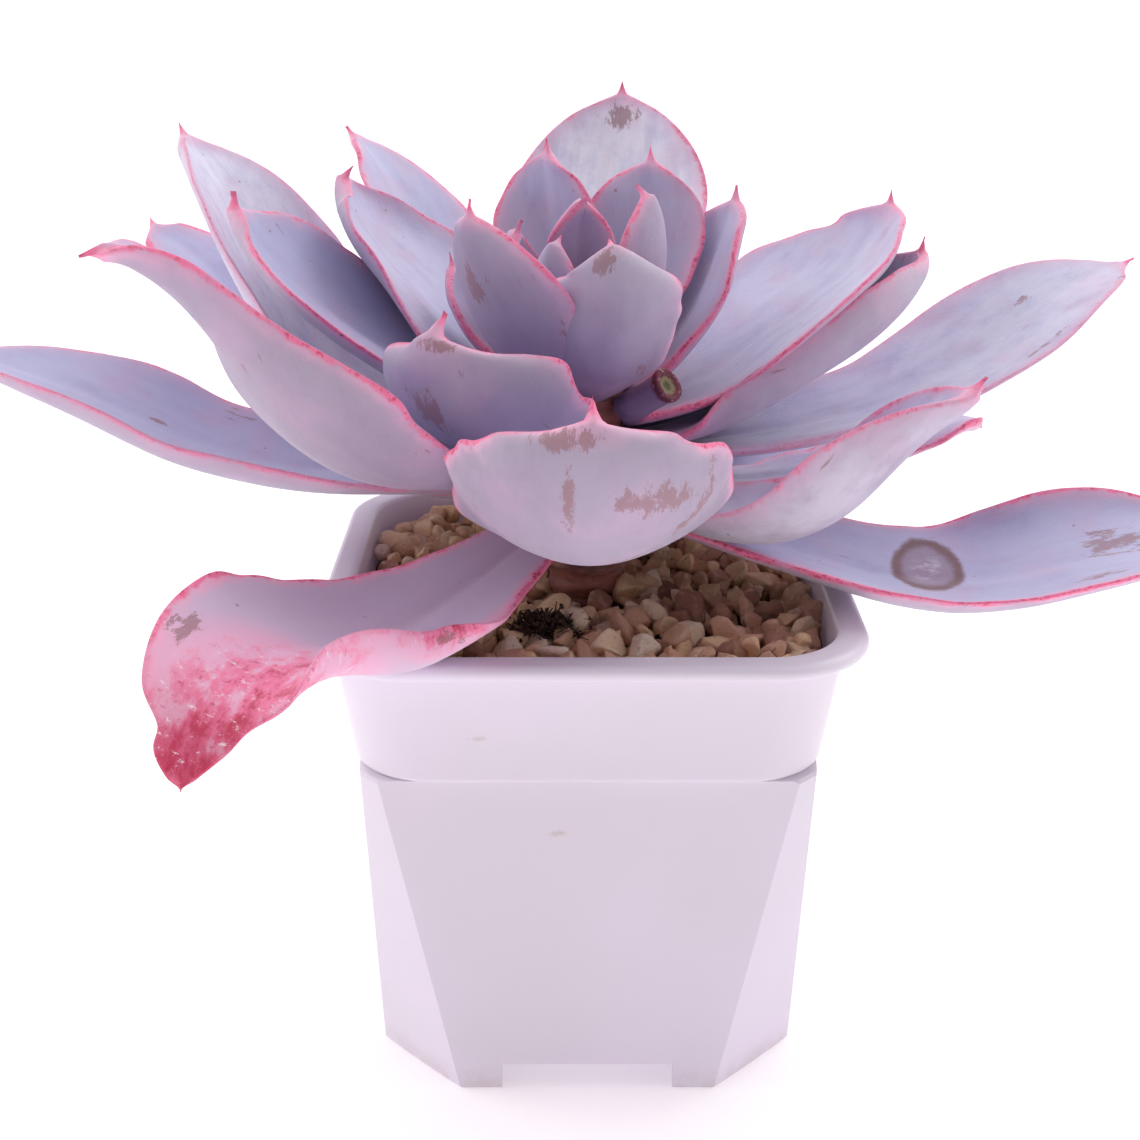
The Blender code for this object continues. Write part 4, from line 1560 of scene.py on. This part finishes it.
    def store_skin(self, piece: bpy.types.Object, half: np.ndarray) -> None:
        """Stores what the finish needs to know about each point.

        Args:
            piece: The blade's object.
            half: The half width at each row and column.
        """
        columns = np.concatenate([np.arange(self.columns), np.arange(self.columns - 2, 0, -1)])
        below = np.concatenate([np.zeros(self.columns), np.ones(self.columns - 2)])
        across = self.across[columns][None, :]
        reach = half[:, columns]
        place = np.repeat(self.share[:, None] * self.leaf.length, len(columns), axis=1)
        edge = reach * (1 - np.abs(across)) * max(1.0, 40 / self.leaf.length) ** 0.5
        tip = (self.leaf.length - place) * max(1.0, 55 / self.leaf.length)
        side = reach * across
        skin = np.stack([side, place, np.full_like(side, self.seed * 37.0) + below * 9.0], axis=-1)
        store(piece, "skin", skin.reshape(-1, 3))
        values = {"edge": edge, "tip": tip, "base": place, "under": below[None, :]}
        # Per leaf: the painted shade towards the centre, the flush, and the pale powder that is partly
        # painted backlight.
        values |= {"youth": self.youth, "flush": self.leaf.flush, "bloom": self.leaf.bloom}
        for name, value in values.items():
            store(piece, name, np.broadcast_to(value, side.shape).ravel())
        fields = {mark: np.zeros_like(side) for mark in (Mark.SCAR, Mark.SCALD)}
        fields[Mark.DROP] = np.full_like(side, FAR_OFF)
        for blemish in self.leaf.blemishes:
            turn = math.radians(blemish.slant)
            dx = side - blemish.across * reach
            dy = place - blemish.place * self.leaf.length
            long_way = (dy * math.cos(turn) + dx * math.sin(turn)) / (blemish.length / 2)
            wide_way = (dx * math.cos(turn) - dy * math.sin(turn)) / (blemish.width / 2)
            far = np.hypot(long_way, wide_way)
            if blemish.mark is Mark.DROP:
                fields[Mark.DROP] = np.where(below[None, :] > 0, FAR_OFF, far / 2)
            else:
                fields[blemish.mark] = np.maximum(fields[blemish.mark], np.clip(1.25 - 0.75 * far, 0, 1))
        for mark, values in fields.items():
            store(piece, mark.value, values.ravel())


@dataclass
class Rosette:
    """All the leaves, seated up the stem in their order of age, and the bud at its heart."""

    stem: Stem
    lowest_seat: float
    highest_seat: float
    crowding: float = 1.3
    # The leaf from which the painted shade starts, and over how many leaves it grows to full.
    centre_shade_from: int = 18
    centre_shade_over: int = 14
    bud_leaves: int = 7
    bud_length: float = 15.0
    bud_shrink: float = 1.3
    bud_climb: float = 0.5
    bud_turn: float = 20.0
    bud_thickness: tuple = (1.8, 1.2)
    bud_seed: int = 60
    golden_angle: float = 137.5
    finish: LeafSkin = field(default_factory=LeafSkin)

    def build(self) -> None:
        """Builds and dresses every leaf."""
        skin = self.finish.material()
        for number, leaf in enumerate(LEAVES):
            share = (number / (len(LEAVES) - 1)) ** self.crowding
            seat = self.lowest_seat + (self.highest_seat - self.lowest_seat) * share
            # Painted shade: each leaf's share of the darkening, rising from the older leaves towards the
            # centre.
            youth = float(ease(np.array((number - self.centre_shade_from) / self.centre_shade_over)))
            piece = Blade(leaf, seat, youth, number, self.stem).build(skin)
            place_piece(piece, Slot.LEAF, "leaf_" + leaf.name)
        for number in range(self.bud_leaves):
            heading = (number * self.golden_angle + self.bud_turn) % 360
            length = self.bud_length - self.bud_shrink * number
            leaf = Leaf(f"bud_{number + 1}", HEART, heading, length, tilt=-4 + 2 * number)
            seat = self.highest_seat + self.bud_climb * number
            blade = Blade(leaf, seat, 1.0, self.bud_seed + number, self.stem, *self.bud_thickness)
            piece = blade.build(skin)
            place_piece(piece, Slot.LEAF)


# ----------------------------------------------------------------- the studio


@dataclass(frozen=True)
class Lamp:
    """A square soft light aimed at the plant: its place and side, and its power in watts."""

    name: str
    place: tuple
    size: float
    power: float
    aim: tuple = (0.0, 0.0, 110.0)

    def build(self) -> None:
        """Adds the light."""
        data = bpy.data.lights.new(self.name, "AREA")
        data.size = self.size * MM
        data.energy = self.power
        lamp = bpy.data.objects.new(self.name, data)
        start = np.array(self.place) * MM
        lamp.location = start
        aim = np.array(self.aim) * MM - start
        level = math.hypot(aim[0], aim[1])
        lamp.rotation_euler = (math.atan2(level, -aim[2]), 0.0, math.atan2(aim[1], aim[0]) - math.pi / 2)
        bpy.context.scene.collection.objects.link(lamp)


@dataclass
class Studio:
    """The white floor, the soft lights and the camera."""

    camera_place: tuple = (-3.0, -280.5, 190.6)
    camera_down: float = 21.03
    lens: float = 53.7
    sensor: float = 36.0
    far_clip: float = 40.0
    floor_half: float = 9000.0
    front_light: float = 0.12
    side_light: float = 1.22
    horizon_light: float = 1.0
    top_share: float = 0.9
    light_colour: tuple = (1.0, 0.985, 1.0)
    lamps: tuple = (
        Lamp("key_light", (700, 500, 1000), 700, 3.5),
        Lamp("fill_light", (-900, 100, 700), 700, 2.0),
    )

    def build_camera(self) -> None:
        """Places the camera."""
        data = bpy.data.cameras.new("camera")
        data.lens = self.lens
        data.sensor_width = self.sensor
        data.clip_end = self.far_clip
        camera = bpy.data.objects.new("camera", data)
        camera.location = tuple(value * MM for value in self.camera_place)
        camera.rotation_euler = (math.radians(90 - self.camera_down), 0.0, 0.0)
        bpy.context.scene.collection.objects.link(camera)
        bpy.context.scene.camera = camera

    def build_floor(self) -> None:
        """Lays the floor."""
        points = np.array([(-1, -1, 0), (1, -1, 0), (1, 1, 0), (-1, 1, 0)]) * self.floor_half
        floor = add_mesh("studio_floor", points, [[0, 1, 2, 3]], StudioFloor().material())

    def build_world(self) -> None:
        """Fills the room with soft light, weaker from high in front than from behind."""
        world = bpy.data.worlds.new("studio_light")
        world.use_nodes = True
        graph = Graph(world.node_tree)
        place = graph.node("TexCoord").outputs["Generated"]
        split = graph.axes(place)
        around = graph.span(split["Y"], -0.8, 0.0, self.front_light, self.side_light)
        strength = graph.times(around, graph.span(split["Z"], 0.15, 0.9, 1.0, self.top_share))
        low = graph.span(split["Z"], 0.08, 0.26, 1.0, 0.0)
        lack = graph.math("SUBTRACT", self.horizon_light, strength)
        strength = graph.plus(strength, graph.times(low, lack))
        light = graph.node("Background", {"Color": self.light_colour, "Strength": strength})
        graph.node("OutputWorld", {"Surface": light.outputs[0]})
        bpy.context.scene.world = world

    def build(self) -> None:
        """Builds the whole studio."""
        view = bpy.context.scene.view_settings
        view.view_transform = "Standard"
        view.look = "None"
        self.build_camera()
        self.build_floor()
        self.build_world()
        for lamp in self.lamps:
            lamp.build()


def corners(node: str) -> tuple[np.ndarray, np.ndarray]:
    """A node's lowest and highest corners in millimetres."""
    low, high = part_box(node)
    return np.array(low) / MM, np.array(high) / MM


def main() -> None:
    """Builds the studio and every piece, then notes the sizes."""
    logging.basicConfig(level=logging.INFO, format="%(name)s %(message)s")
    _, pot_high = corners("pot")
    stem_low, stem_high = corners("stem")
    Studio().build()
    pot = Pot(rim_half=float(pot_high[0]), height=float(pot_high[2]))
    pot.build()
    bed_top = pot.height - GRIT_BELOW_RIM
    stem = Stem(top=float(stem_high[2]), foot=float(stem_low[2]))
    inner_half = pot.collar_top_half - pot.wall
    GritBed(inner_half, pot.collar_corner, bed_top, stem.radius).build()
    stem.build()
    FlowerStalk(stem, pot.height + STALK_ABOVE_RIM).build()
    Rosette(stem, pot.height + LOWEST_LEAF_ABOVE_RIM, pot.height + HEART_ABOVE_RIM).build()


if __name__ == "__main__":
    main()
